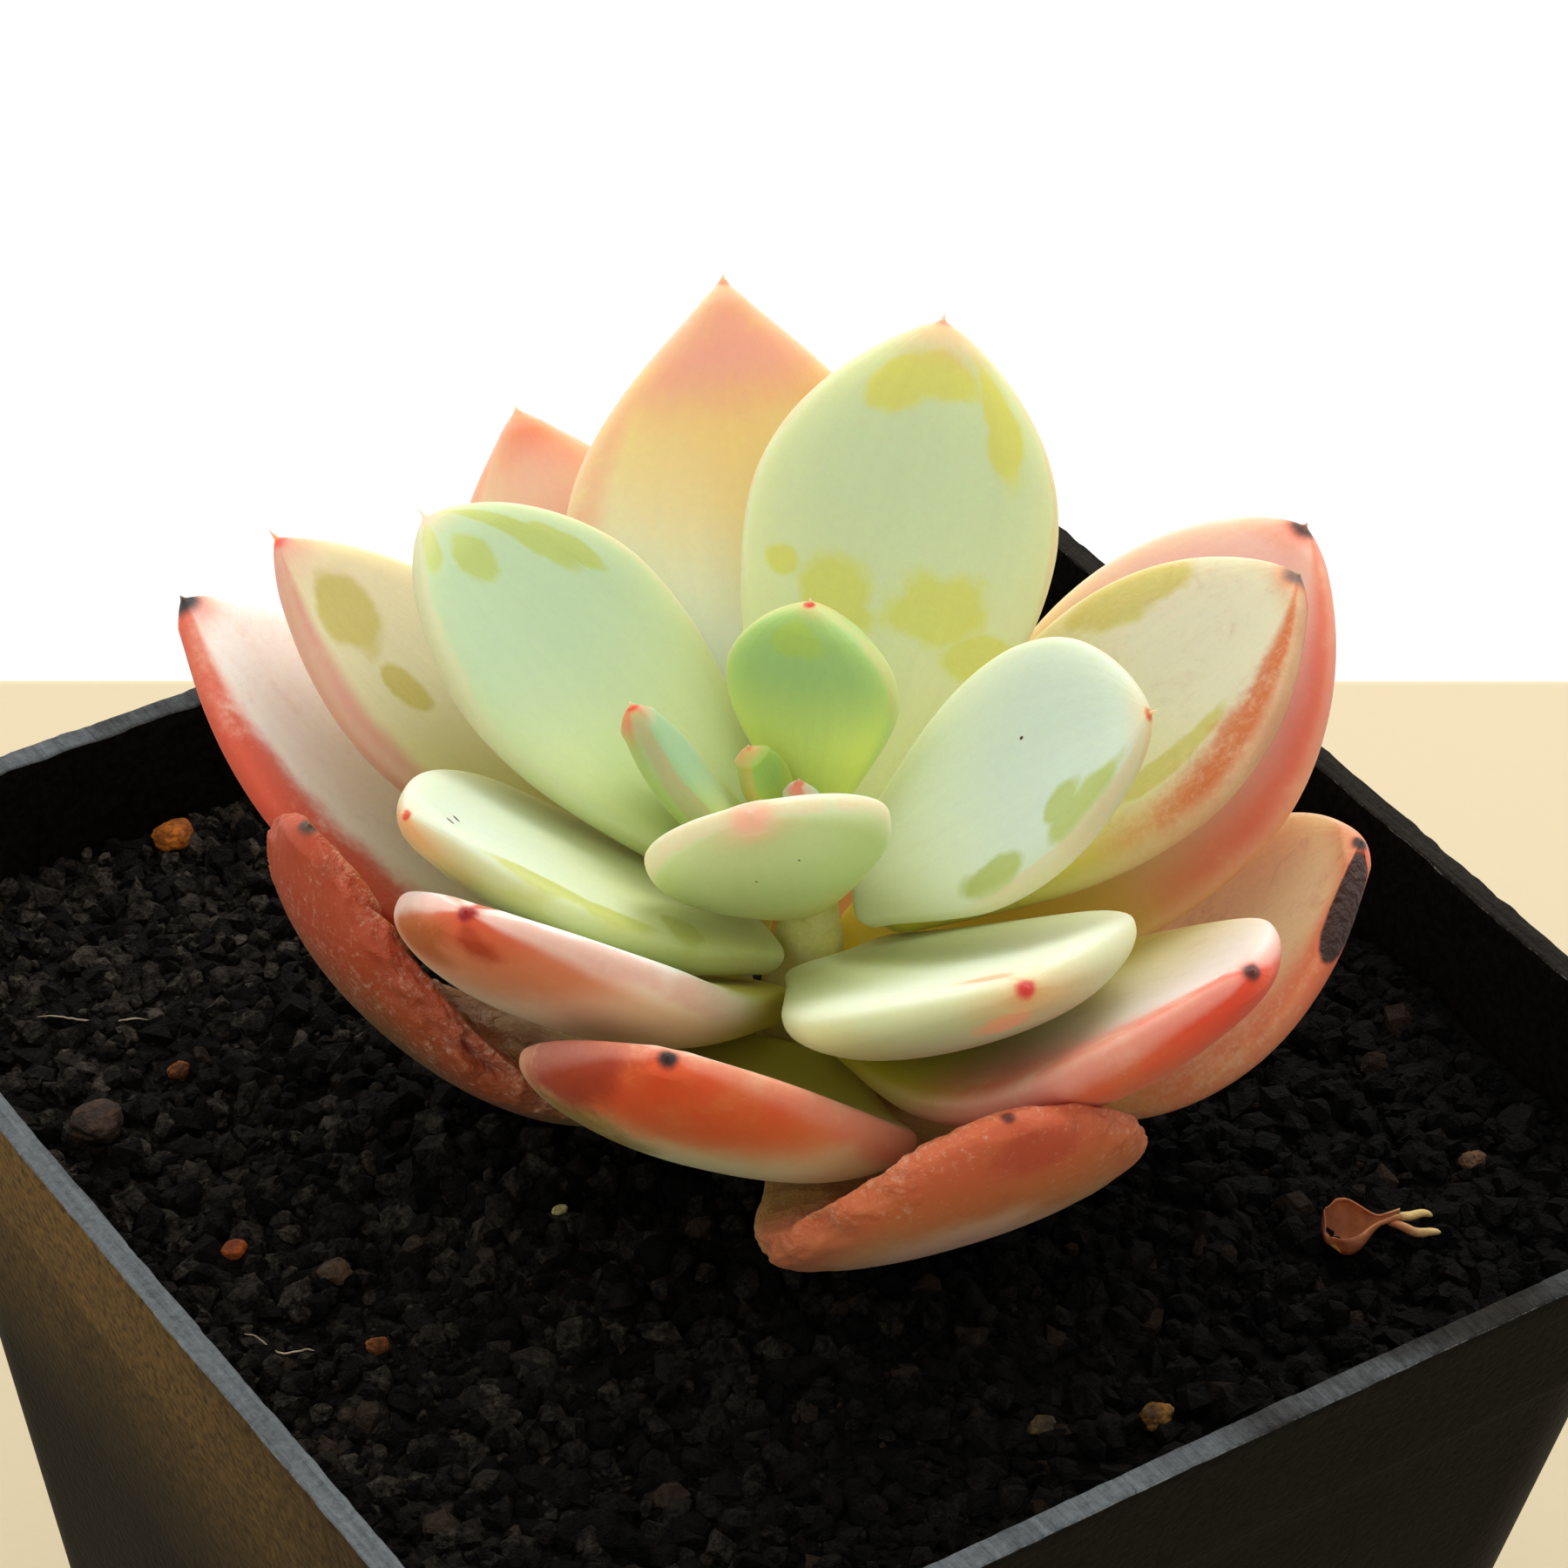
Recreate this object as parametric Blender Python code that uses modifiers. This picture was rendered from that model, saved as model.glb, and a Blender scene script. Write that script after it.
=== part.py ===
"""Potted succulent: a rosette of plump leaves on a short stem, in a square pot of dark soil.

Lengths are written in millimetres times MM, so everything below is in metres.
The origin is the middle of the pot's underside, +Z is up, and the pot's sides
are parallel to X and Y. Every leaf grew as one piece and is one solid.
"""
import math
from typing import NamedTuple

import bmesh
import bpy
from mathutils import Matrix, Vector

MM = 0.001
GAP = 0.3 * MM                  # clearance between pieces that touch

# Pot
POT_TOP_WIDTH = 75.0 * MM       # outside, across two opposite sides of the rim
POT_HEIGHT = 65.0 * MM
POT_WALL = 1.35 * MM
POT_FLOOR = 1.6 * MM
POT_TAPER = 0.147               # how far a side leans in for each unit of depth
BAND_HEIGHT = 8.4 * MM          # the thicker band below the rim
BAND_STEP = 1.7 * MM            # how far the band stands out from the side below it
CORNER_RADIUS = 10.0 * MM       # of the side, seen from above
CORNER_STEPS = 6                # facets in each round corner
EDGE_BEVEL = 0.35 * MM          # rim edges and the foot
DRAIN_DIAMETER = 5.0 * MM
DRAIN_OFFSET = 13.0 * MM        # of each drain hole from the middle, along X and Y

# Soil
SOIL_BELOW_RIM = 6.5 * MM
SOIL_UNEVENNESS = 0.35 * MM
SOIL_RINGS = 5

# Stem, with heights measured from the soil
STEM_X = 1.5 * MM
STEM_Y = -1.0 * MM
STEM_RADIUS = 2.4 * MM
STEM_TIP_RADIUS = 0.7 * MM
STEM_STRAIGHT = 6.5 * MM        # height at which it begins to narrow
STEM_HEIGHT = 16.6 * MM
STEM_ROOT = 10.0 * MM           # how deep it stands in the soil
STEM_SIDES = 16

# Leaf shape, in shares of one leaf's own length or width
ROSETTE_SCALE = 1.0             # grows or shrinks all the leaves and the stem together
LEAF_WIDEST = 0.60              # where along its length a leaf is widest
LEAF_NECK = 0.36                # width where it leaves the stem, of its greatest width
LEAF_SWELL = 1.35               # how late it widens from the neck; 1 follows a sine
LEAF_THICKEST = 0.45            # where along its length a leaf is thickest
LEAF_NECK_THICKNESS = 0.62      # thickness where it leaves the stem, of its greatest
LEAF_TIP_ROUND = 3.6            # how long it stays plump towards the tip
LEAF_BASE_ROUND = 0.05          # share of the length over which the base end rounds off
LEAF_ROUND = 2.5                # how boxy its cross-section is; 2 is an ellipse
LEAF_UPPER = 0.42               # share of the thickness that is above the midrib
LEAF_AROUND = 14
LEAF_ALONG = 12
MIDRIB_STEPS = 24

LEAF_COLORS = {
    "heart": (0.42, 0.62, 0.40, 1),
    "inner": (0.68, 0.80, 0.50, 1),
    "middle": (0.86, 0.66, 0.36, 1),
    "outer": (0.80, 0.36, 0.22, 1),
}


class Ring(NamedTuple):
    """What the leaves of one ring of the rosette share."""
    beyond_stem: float          # base end's distance from the axis, past the stem's radius
    thickness: float


RINGS = {
    "heart": Ring(-0.8 * MM, 3.3 * MM),     # these sit where the stem has narrowed
    "inner": Ring(-0.1 * MM, 3.4 * MM),
    "middle": Ring(0.2 * MM, 3.2 * MM),
    "outer": Ring(0.5 * MM, 3.0 * MM),
}


class Leaf(NamedTuple):
    """One leaf: angles in degrees, lengths in millimetres, height from the soil."""
    name: str
    azimuth: float              # the way it points, from +X towards +Y
    height: float
    length: float
    width: float
    lift: tuple                 # how steeply it rises, at its base and at its tip
    roll: float = 0             # turned about its own midrib
    sway: float = 0             # sideways bend, of its length
    cup: float = 0.12           # how far the margins stand up, of half the width
    point: float = 0.75         # 0.5 has a round end, 1 a wedge
    plump: float = 1.0          # thickness, of its ring's thickness
    inset: float = 0            # starts this much closer to the stem's axis


LEAVES = [
    Leaf("heart_leaf_1", 197, 17.0, 4.5, 2.0, (73, 82), 0, -0.05, 0.10, 0.9, 0.36, 1.1),
    Leaf("heart_leaf_2", 131, 17.2, 5.5, 3.0, (59, 69), -16, 0.06, 0.10, 0.9, 0.50, 0.4),
    Leaf("heart_leaf_3", 58, 17.8, 10.5, 9.0, (59, 81), -27, 0.06, 0.10),
    Leaf("heart_leaf_4", 152, 15.3, 12.5, 4.5, (41, 62), 0, -0.06, 0.10, 1.0, 0.75),
    Leaf("heart_leaf_5", 217, 14.8, 16.0, 12.0, (45, 57), 27, 0, 0.12, 0.8),
    Leaf("inner_leaf_1", 41, 14.9, 27.5, 16.0, (33, 54), 16, 0, 0.12, 0.8),
    Leaf("inner_leaf_2", 118, 13.4, 25.0, 16.5, (35, 42), 2, 0.04, 0.12, 0.7),
    Leaf("inner_leaf_3", 310, 14.4, 20.0, 14.5, (53, 42), 22, -0.02, 0.12, 0.7),
    Leaf("inner_leaf_4", 169, 11.1, 23.5, 14.5, (29, 40), 7, 0, 0.12, 0.7),
    Leaf("inner_leaf_5", 271, 10.6, 23.5, 19.0, (23, 49), -4, -0.16, 0.13, 0.75, 1.08),
    Leaf("middle_leaf_1", 72, 11.3, 32.5, 18.0, (25, 60), -3, -0.06, 0.12, 1.15),
    Leaf("middle_leaf_2", 118, 9.1, 32.0, 13.5, (16, 44), 0, 0.05, 0.12, 0.9),
    Leaf("middle_leaf_3", 346, 12.5, 27.5, 17.5, (18, 52), -1),
    Leaf("middle_leaf_4", 181, 8.2, 26.0, 17.5, (15, 62), 23, 0.10, 0.15, 0.7, 1.15),
    Leaf("middle_leaf_5", 285, 8.1, 29.5, 18.5, (8, 60), 0, -0.01, 0.15, 0.75, 1.1),
    Leaf("outer_leaf_1", 86, 7.2, 32.5, 15.5, (13, 56), -13, 0.04, 0.12, 1.0),
    Leaf("outer_leaf_2", 128, 5.0, 36.0, 16.5, (8, 48), 3, -0.04, 0.12, 0.85),
    Leaf("outer_leaf_3", 355, 6.8, 33.0, 18.0, (16, 56), 13, 0.06, 0.10, 0.7),
    Leaf("outer_leaf_4", 327, 5.0, 29.5, 18.5, (-12, 68), 0, 0, 0.10, 0.7),
    Leaf("outer_leaf_5", 161, 3.5, 31.5, 16.0, (-16, 89), 19, -0.09, 0.12, 0.65, 0.87),
    Leaf("outer_leaf_6", 221, 5.9, 26.0, 19.0, (4, 71), 0, -0.06, 0.14, 0.7, 1.2),
    Leaf("outer_leaf_7", 259, 2.6, 29.5, 19.0, (-2, 78), 2, -0.04, 0.06, 0.65, 1.15),
    Leaf("outer_leaf_8", 44, 5.1, 25.0, 14.5, (13, 42)),
]


class Crumb(NamedTuple):
    """A loose lump on the soil: its size in millimetres, and its turn about Z in degrees."""
    name: str
    place: tuple                # from the middle of the soil, of half the soil's width
    size: tuple
    turn: float
    color: tuple


CRUMBS = [
    Crumb("amber_grain", (-0.444, 0.951), (2.3, 1.9, 1.7), 20, (0.62, 0.28, 0.05, 1)),
    Crumb("brown_clod", (-0.868, 0.430), (3.0, 2.4, 1.9), 50, (0.10, 0.06, 0.04, 1)),
    Crumb("rust_grain", (-0.831, 0.100), (1.4, 1.2, 1.1), 10, (0.45, 0.16, 0.05, 1)),
]
CRUMB_FLAT = 0.6                # depth below the middle of a crumb, of half its height
CRUMB_LUMPS = 0.12              # how far its lumps stand out, of its size

# Dry scrap of an old leaf, lying on the soil
SCRAP_PLACE = (0.645, -0.745)   # the end of its stalk, of half the soil's width
SCRAP_LENGTH = 5.8 * MM
SCRAP_WIDTH = 2.6 * MM
SCRAP_THICKNESS = 0.8 * MM
SCRAP_TURN = 153                # degrees, the way its broad end points
SCRAP_LIFT = (8, -6)            # degrees, how it rises at its stalk and at its broad end
SCRAP_SWAY = 0.10
SCRAP_CUP = 0.35
SCRAP_POINT = 0.6

SOIL_TOP = POT_HEIGHT - SOIL_BELOW_RIM
RIM_HALF = POT_TOP_WIDTH / 2


def main():
    clear_scene()
    parts = new_collection("potted_succulent")
    cutters = new_collection("cutters")
    make_pot(parts, cutters)
    make_soil(parts, cutters)
    make_stem(parts)
    for leaf in LEAVES:
        make_leaf(leaf, parts)
    for crumb in CRUMBS:
        make_crumb(crumb, parts)
    make_scrap(parts)


def clear_scene():
    for old in list(bpy.data.objects):
        bpy.data.objects.remove(old, do_unlink=True)


def new_collection(name):
    group = bpy.data.collections.new(name)
    bpy.context.scene.collection.children.link(group)
    return group


def material(name, color, roughness):
    """A plain Principled material, made once for each name."""
    made = bpy.data.materials.get(name)
    if made is None:
        made = bpy.data.materials.new(name)
        made.use_nodes = True
        shader = made.node_tree.nodes["Principled BSDF"]
        shader.inputs["Base Color"].default_value = color
        shader.inputs["Roughness"].default_value = roughness
        shader.inputs["Metallic"].default_value = 0.0
    return made


def add_object(name, bm, group, finish=None):
    """Turn a bmesh into a smooth-shaded object of the group."""
    if bm.calc_volume(signed=True) < 0:
        bmesh.ops.reverse_faces(bm, faces=bm.faces)
    mesh = bpy.data.meshes.new(name)
    bm.to_mesh(mesh)
    bm.free()
    mesh.shade_smooth()
    mesh.set_sharp_from_angle(angle=math.radians(40))
    made = bpy.data.objects.new(name, mesh)
    group.objects.link(made)
    if finish is not None:
        mesh.materials.append(finish)
    return made


def add_cutter(name, radius, bottom, top, place, group):
    """An upright cylinder that cuts its target and isn't part of the model."""
    bm = bmesh.new()
    middle = Matrix.Translation((place[0], place[1], (bottom + top) / 2))
    bmesh.ops.create_cone(bm, cap_ends=True, segments=STEM_SIDES, radius1=radius,
                          radius2=radius, depth=top - bottom, matrix=middle)
    cutter = add_object(name, bm, group)
    cutter.hide_render = True
    cutter.display_type = 'WIRE'
    return cutter


def cut(target, cutter):
    hole = target.modifiers.new(cutter.name, 'BOOLEAN')
    hole.operation = 'DIFFERENCE'
    hole.object = cutter


def rounded_square(half, radius, z):
    """Points around a square with round corners, anticlockwise seen from above."""
    points = []
    for quarter in range(4):
        turn = quarter * math.pi / 2
        corner = Vector((half - radius, half - radius, z))
        corner.rotate(Matrix.Rotation(turn, 3, 'Z'))
        for step in range(CORNER_STEPS + 1):
            angle = turn + step / CORNER_STEPS * math.pi / 2
            points.append(corner + Vector((math.cos(angle), math.sin(angle), 0)) * radius)
    return points


def loft(bm, outlines):
    """Join each outline to the next with quads, and close both ends."""
    loops = [[bm.verts.new(point) for point in outline] for outline in outlines]
    count = len(loops[0])
    for lower, upper in zip(loops, loops[1:]):
        for i in range(count):
            j = (i + 1) % count
            bm.faces.new((lower[i], lower[j], upper[j], upper[i]))
    bm.faces.new(list(reversed(loops[0])))
    bm.faces.new(loops[-1])


def band_half(z):
    """Half the outside width of the band at height z."""
    return RIM_HALF - POT_TAPER * (POT_HEIGHT - z)


def side_half(z):
    """Half the outside width of the side below the band at height z."""
    return band_half(z) - BAND_STEP


def make_pot(parts, cutters):
    """A tapered square shell: out and up its outside, over the rim, down its inside."""
    band_bottom = POT_HEIGHT - BAND_HEIGHT
    band_corner = CORNER_RADIUS + BAND_STEP
    foot = side_half(0)
    foot_corner = CORNER_RADIUS - EDGE_BEVEL
    inner_corner = CORNER_RADIUS - POT_WALL
    outlines = [
        rounded_square(foot - EDGE_BEVEL, foot_corner, 0),
        rounded_square(side_half(EDGE_BEVEL), CORNER_RADIUS, EDGE_BEVEL),
        rounded_square(side_half(band_bottom), CORNER_RADIUS, band_bottom),
        rounded_square(band_half(band_bottom), band_corner, band_bottom),
        rounded_square(band_half(POT_HEIGHT - EDGE_BEVEL), band_corner, POT_HEIGHT - EDGE_BEVEL),
        rounded_square(RIM_HALF - EDGE_BEVEL, band_corner - EDGE_BEVEL, POT_HEIGHT),
        rounded_square(RIM_HALF - POT_WALL + EDGE_BEVEL / 3, band_corner - POT_WALL, POT_HEIGHT),
        rounded_square(band_half(POT_HEIGHT - EDGE_BEVEL) - POT_WALL, band_corner - POT_WALL,
                       POT_HEIGHT - EDGE_BEVEL),
        rounded_square(band_half(band_bottom) - POT_WALL, band_corner - POT_WALL,
                       band_bottom),
        rounded_square(side_half(band_bottom - POT_WALL) - POT_WALL, inner_corner,
                       band_bottom - POT_WALL),
        rounded_square(side_half(POT_FLOOR) - POT_WALL, inner_corner, POT_FLOOR),
    ]
    bm = bmesh.new()
    loft(bm, outlines)
    pot = add_object("pot", bm, parts, material("pot_plastic", (0.012, 0.013, 0.014, 1), 0.5))
    for number, (side_x, side_y) in enumerate(((1, 1), (-1, 1), (-1, -1), (1, -1)), 1):
        place = (side_x * DRAIN_OFFSET, side_y * DRAIN_OFFSET)
        hole = add_cutter(f"drain_{number}", DRAIN_DIAMETER / 2, -POT_FLOOR, 2 * POT_FLOOR,
                          place, cutters)
        cut(pot, hole)


def soil_height(x, y):
    """A few slow waves over the top of the soil."""
    waves = math.sin(x / (9 * MM) + 1.0) * math.cos(y / (7 * MM)) + math.sin((x + y) / (5 * MM))
    return SOIL_TOP + SOIL_UNEVENNESS * waves / 2


def soil_half(z):
    """Half the soil's width at height z."""
    edge = band_half if z > POT_HEIGHT - BAND_HEIGHT else side_half
    return edge(z) - POT_WALL - GAP


def on_soil(place):
    """X and Y of a place that is given as a share of the soil's half width."""
    return [share * soil_half(SOIL_TOP) for share in place]


def make_soil(parts, cutters):
    """Fills the pot to below its rim, with a pocket where the stem stands."""
    corner = CORNER_RADIUS - POT_WALL - GAP
    ledge = POT_HEIGHT - BAND_HEIGHT
    ledge_top = ledge + GAP
    bottom = POT_FLOOR + GAP
    top_corner = corner + BAND_STEP
    below_ledge = ledge - POT_WALL
    outlines = [
        rounded_square(soil_half(bottom), corner, bottom),
        rounded_square(soil_half(below_ledge), corner, below_ledge),
        rounded_square(soil_half(ledge_top), top_corner, ledge_top),
        rounded_square(soil_half(SOIL_TOP), top_corner, SOIL_TOP),
    ]
    rim = outlines[-1]
    for ring in range(1, SOIL_RINGS):
        share = 1 - ring / SOIL_RINGS
        outlines.append([Vector((p.x * share, p.y * share, soil_height(p.x * share, p.y * share)))
                         for p in rim])
    bm = bmesh.new()
    loft(bm, outlines)
    bmesh.ops.poke(bm, faces=[face for face in bm.faces if len(face.verts) > 4][-1:])
    soil = add_object("soil", bm, parts, material("soil", (0.02, 0.016, 0.013, 1), 0.95))
    pocket = add_cutter("stem_pocket", STEM_RADIUS * ROSETTE_SCALE + GAP,
                        SOIL_TOP - STEM_ROOT - GAP, SOIL_TOP + STEM_ROOT,
                        (STEM_X, STEM_Y), cutters)
    cut(soil, pocket)


def make_stem(parts):
    """A turned stem that narrows towards the heart of the rosette."""
    scale = ROSETTE_SCALE
    edge = STEM_TIP_RADIUS / 2
    profile = [
        (0, STEM_HEIGHT * scale),
        ((STEM_TIP_RADIUS - edge) * scale, STEM_HEIGHT * scale),
        (STEM_TIP_RADIUS * scale, (STEM_HEIGHT - edge) * scale),
        (STEM_RADIUS * scale, STEM_STRAIGHT * scale),
        (STEM_RADIUS * scale, -STEM_ROOT),
        (0, -STEM_ROOT),
    ]
    bm = bmesh.new()
    points = [bm.verts.new((radius, 0, z)) for radius, z in profile]
    for upper, lower in zip(points, points[1:]):
        bm.edges.new((upper, lower))
    stem = add_object("stem", bm, parts, material("stem", (0.30, 0.24, 0.12, 1), 0.7))
    stem.location = (STEM_X, STEM_Y, SOIL_TOP)
    turn = stem.modifiers.new("turn", 'SCREW')
    turn.axis = 'Z'
    turn.steps = STEM_SIDES
    turn.render_steps = STEM_SIDES
    turn.use_merge_vertices = True
    turn.merge_threshold = 0.00001


def closing(share):
    """Rounds off the base end of a leaf."""
    near = min(share / LEAF_BASE_ROUND, 1)
    return math.sqrt(max(1 - (1 - near) ** 2, 0))


def leaf_width(share, point):
    """Half-width along a leaf, of its greatest: a neck, a swelling, then the tip."""
    swell = math.sin(math.pi / 2 * min(share / LEAF_WIDEST, 1)) ** LEAF_SWELL
    beyond = max((share - LEAF_WIDEST) / (1 - LEAF_WIDEST), 0)
    return (LEAF_NECK + (1 - LEAF_NECK) * swell) * (1 - min(beyond, 1) ** 2) ** point * closing(share)


def leaf_thickness(share):
    """Thickness along a leaf, of its greatest: stays plump, then rounds off at the tip."""
    swell = math.sin(math.pi / 2 * min(share / LEAF_THICKEST, 1))
    beyond = min(max((share - LEAF_THICKEST) / (1 - LEAF_THICKEST), 0), 1)
    round_off = math.sqrt(1 - beyond ** LEAF_TIP_ROUND) * closing(share)
    return (LEAF_NECK_THICKNESS + (1 - LEAF_NECK_THICKNESS) * swell) * round_off


def boxy(value):
    """Cosine or sine of the angle around a section, pushed towards a square's sides."""
    return math.copysign(abs(value) ** (2 / LEAF_ROUND), value)


def midrib(share, leaf, length):
    """Distance out, height and lift angle on the midrib, whose lift changes evenly."""
    base, tip = (math.radians(angle) for angle in leaf.lift)
    out = up = 0.0
    step = share / MIDRIB_STEPS
    for i in range(MIDRIB_STEPS):
        lift = base + (tip - base) * step * (i + 0.5)
        out += math.cos(lift) * step * length
        up += math.sin(lift) * step * length
    return out, up, base + (tip - base) * share


def leaf_point(share, angle, leaf, length, width, thickness, base_radius):
    """One point of a leaf's skin, before it is turned to its azimuth."""
    across = boxy(math.cos(angle))
    over = boxy(math.sin(angle))
    half = width / 2 * leaf_width(share, leaf.point)
    depth = thickness * leaf_thickness(share)
    side = half * across
    part_of_depth = LEAF_UPPER if over > 0 else 1 - LEAF_UPPER
    rise = depth * over * part_of_depth + leaf.cup * half * across ** 2
    roll = math.radians(leaf.roll)
    sideways = side * math.cos(roll) - rise * math.sin(roll) + leaf.sway * length * share ** 2
    outward = side * math.sin(roll) + rise * math.cos(roll)
    out, up, lift = midrib(share, leaf, length)
    return Vector((base_radius + out - outward * math.sin(lift), sideways, up + outward * math.cos(lift)))


def make_leaf(leaf, parts):
    """A sphere whose poles become the leaf's base and tip."""
    kind = leaf.name.split("_")[0]
    ring = RINGS[kind]
    length = leaf.length * MM * ROSETTE_SCALE
    width = leaf.width * MM * ROSETTE_SCALE
    thickness = ring.thickness * leaf.plump * ROSETTE_SCALE
    base_radius = (STEM_RADIUS + ring.beyond_stem - leaf.inset * MM) * ROSETTE_SCALE
    bm = bmesh.new()
    bmesh.ops.create_uvsphere(bm, u_segments=LEAF_AROUND, v_segments=LEAF_ALONG, radius=1)
    height = leaf.height * MM * ROSETTE_SCALE
    place = (Matrix.Translation((STEM_X, STEM_Y, SOIL_TOP + height))
             @ Matrix.Rotation(math.radians(leaf.azimuth), 4, 'Z'))
    for vert in bm.verts:
        share = (1 - vert.co.z) / 2
        angle = math.atan2(vert.co.y, vert.co.x)
        vert.co = place @ leaf_point(share, angle, leaf, length, width, thickness, base_radius)
    add_object(leaf.name, bm, parts, material(kind + "_leaf", LEAF_COLORS[kind], 0.45))


def make_crumb(crumb, parts):
    """A faceted lump with a flattened underside, resting on the soil."""
    x, y = on_soil(crumb.place)
    reach = Vector(crumb.size) * MM / 2
    bm = bmesh.new()
    bmesh.ops.create_icosphere(bm, subdivisions=2, radius=1)
    bottom = SOIL_TOP + SOIL_UNEVENNESS + GAP
    for vert in bm.verts:
        lump = 1 + CRUMB_LUMPS * math.sin(5 * vert.co.x + 3 * vert.co.y) * math.cos(4 * vert.co.z)
        vert.co = Vector([part * lump * size for part, size in zip(vert.co, reach)])
        vert.co.z = max(vert.co.z, -CRUMB_FLAT * reach.z)
    turn = Matrix.Rotation(math.radians(crumb.turn), 4, 'Z')
    bm.transform(Matrix.Translation((x, y, bottom + CRUMB_FLAT * reach.z)) @ turn)
    add_object(crumb.name, bm, parts, material(crumb.name, crumb.color, 0.8))


def make_scrap(parts):
    """A dry scrap: a small curled leaf lying on the soil, thin at its stalk end."""
    shape = Leaf("dry_scrap", SCRAP_TURN, 0, 0, 0, SCRAP_LIFT, 0, SCRAP_SWAY, SCRAP_CUP, SCRAP_POINT)
    bm = bmesh.new()
    bmesh.ops.create_uvsphere(bm, u_segments=10, v_segments=8, radius=1)
    for vert in bm.verts:
        share = (1 - vert.co.z) / 2
        angle = math.atan2(vert.co.y, vert.co.x)
        vert.co = leaf_point(share, angle, shape, SCRAP_LENGTH, SCRAP_WIDTH, SCRAP_THICKNESS, 0)
    lowest = min(vert.co.z for vert in bm.verts)
    rest = SOIL_TOP + SOIL_UNEVENNESS + GAP - lowest
    bm.transform(Matrix.Translation((*on_soil(SCRAP_PLACE), rest))
                 @ Matrix.Rotation(math.radians(SCRAP_TURN), 4, 'Z'))
    add_object("dry_scrap", bm, parts, material("dry_scrap", (0.45, 0.22, 0.10, 1), 0.8))


main()
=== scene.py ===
"""The looks of the potted succulent: skin, bloom and blemishes of every leaf, grit, pot and light.

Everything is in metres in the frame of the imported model: the origin is the middle of the
pot's underside and +Z is up. Surfaces are functions of two parameters, worked out as
whole numpy arrays. Lengths written in millimetres are multiplied by MM.
"""
import math
from typing import NamedTuple

import bpy
import numpy as np
from mathutils import Matrix, Vector


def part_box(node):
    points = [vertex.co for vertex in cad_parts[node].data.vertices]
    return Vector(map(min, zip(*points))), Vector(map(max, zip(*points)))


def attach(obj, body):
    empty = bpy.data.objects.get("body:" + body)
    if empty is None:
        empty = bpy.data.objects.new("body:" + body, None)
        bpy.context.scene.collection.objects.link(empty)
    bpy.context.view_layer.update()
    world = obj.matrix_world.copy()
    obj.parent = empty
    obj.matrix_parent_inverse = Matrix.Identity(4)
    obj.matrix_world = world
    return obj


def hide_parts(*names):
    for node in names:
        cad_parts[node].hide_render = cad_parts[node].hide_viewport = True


bl_info = {
    "name": "Potted succulent looks",
    "version": (1, 0, 0),
    "blender": (4, 5, 0),
    "location": "3D View > Sidebar > Succulent",
    "description": "Builds the fine surfaces and finishes of a rosette succulent in a square pot",
    "category": "Object",
}

MM = 0.001
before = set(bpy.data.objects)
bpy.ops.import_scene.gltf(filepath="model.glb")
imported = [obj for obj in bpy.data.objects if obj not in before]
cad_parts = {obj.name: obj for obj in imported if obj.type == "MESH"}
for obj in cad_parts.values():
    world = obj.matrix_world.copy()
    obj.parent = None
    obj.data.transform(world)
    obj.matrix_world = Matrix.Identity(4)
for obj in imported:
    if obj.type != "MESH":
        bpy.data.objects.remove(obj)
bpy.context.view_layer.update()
POT_LOW, POT_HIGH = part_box("pot")
SOIL_LOW, SOIL_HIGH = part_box("soil")
STEM_LOW, STEM_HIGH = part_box("stem")

POT_HEIGHT = POT_HIGH.z
SOIL_BELOW_RIM = 6.5 * MM
SOIL_LEVEL = POT_HEIGHT - SOIL_BELOW_RIM
STEM_AXIS = np.array(((STEM_LOW.x + STEM_HIGH.x) / 2, (STEM_LOW.y + STEM_HIGH.y) / 2))


def display(red, green, blue):
    """A linear colour from display values of 0 to 255, by the usual display curve."""
    def linear(value):
        share = value / 255
        return share / 12.92 if share <= 0.04045 else ((share + 0.055) / 1.055) ** 2.4
    return (linear(red), linear(green), linear(blue), 1.0)


# ---------------------------------------------------------------- settings

def number_setting(name, description, default, **options):
    return bpy.props.FloatProperty(name=name, description=description, default=default, **options)


def length_setting(name, description, default):
    return number_setting(name, description, default, unit='LENGTH')


def angle_setting(name, description, degrees):
    return number_setting(name, description, math.radians(degrees), subtype='ANGLE')


def color_setting(name, description, *values):
    return bpy.props.FloatVectorProperty(name=name, description=description, subtype='COLOR',
                                         size=4, min=0, max=1, default=values)


def count_setting(name, description, default):
    return bpy.props.IntProperty(name=name, description=description, default=default)


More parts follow.
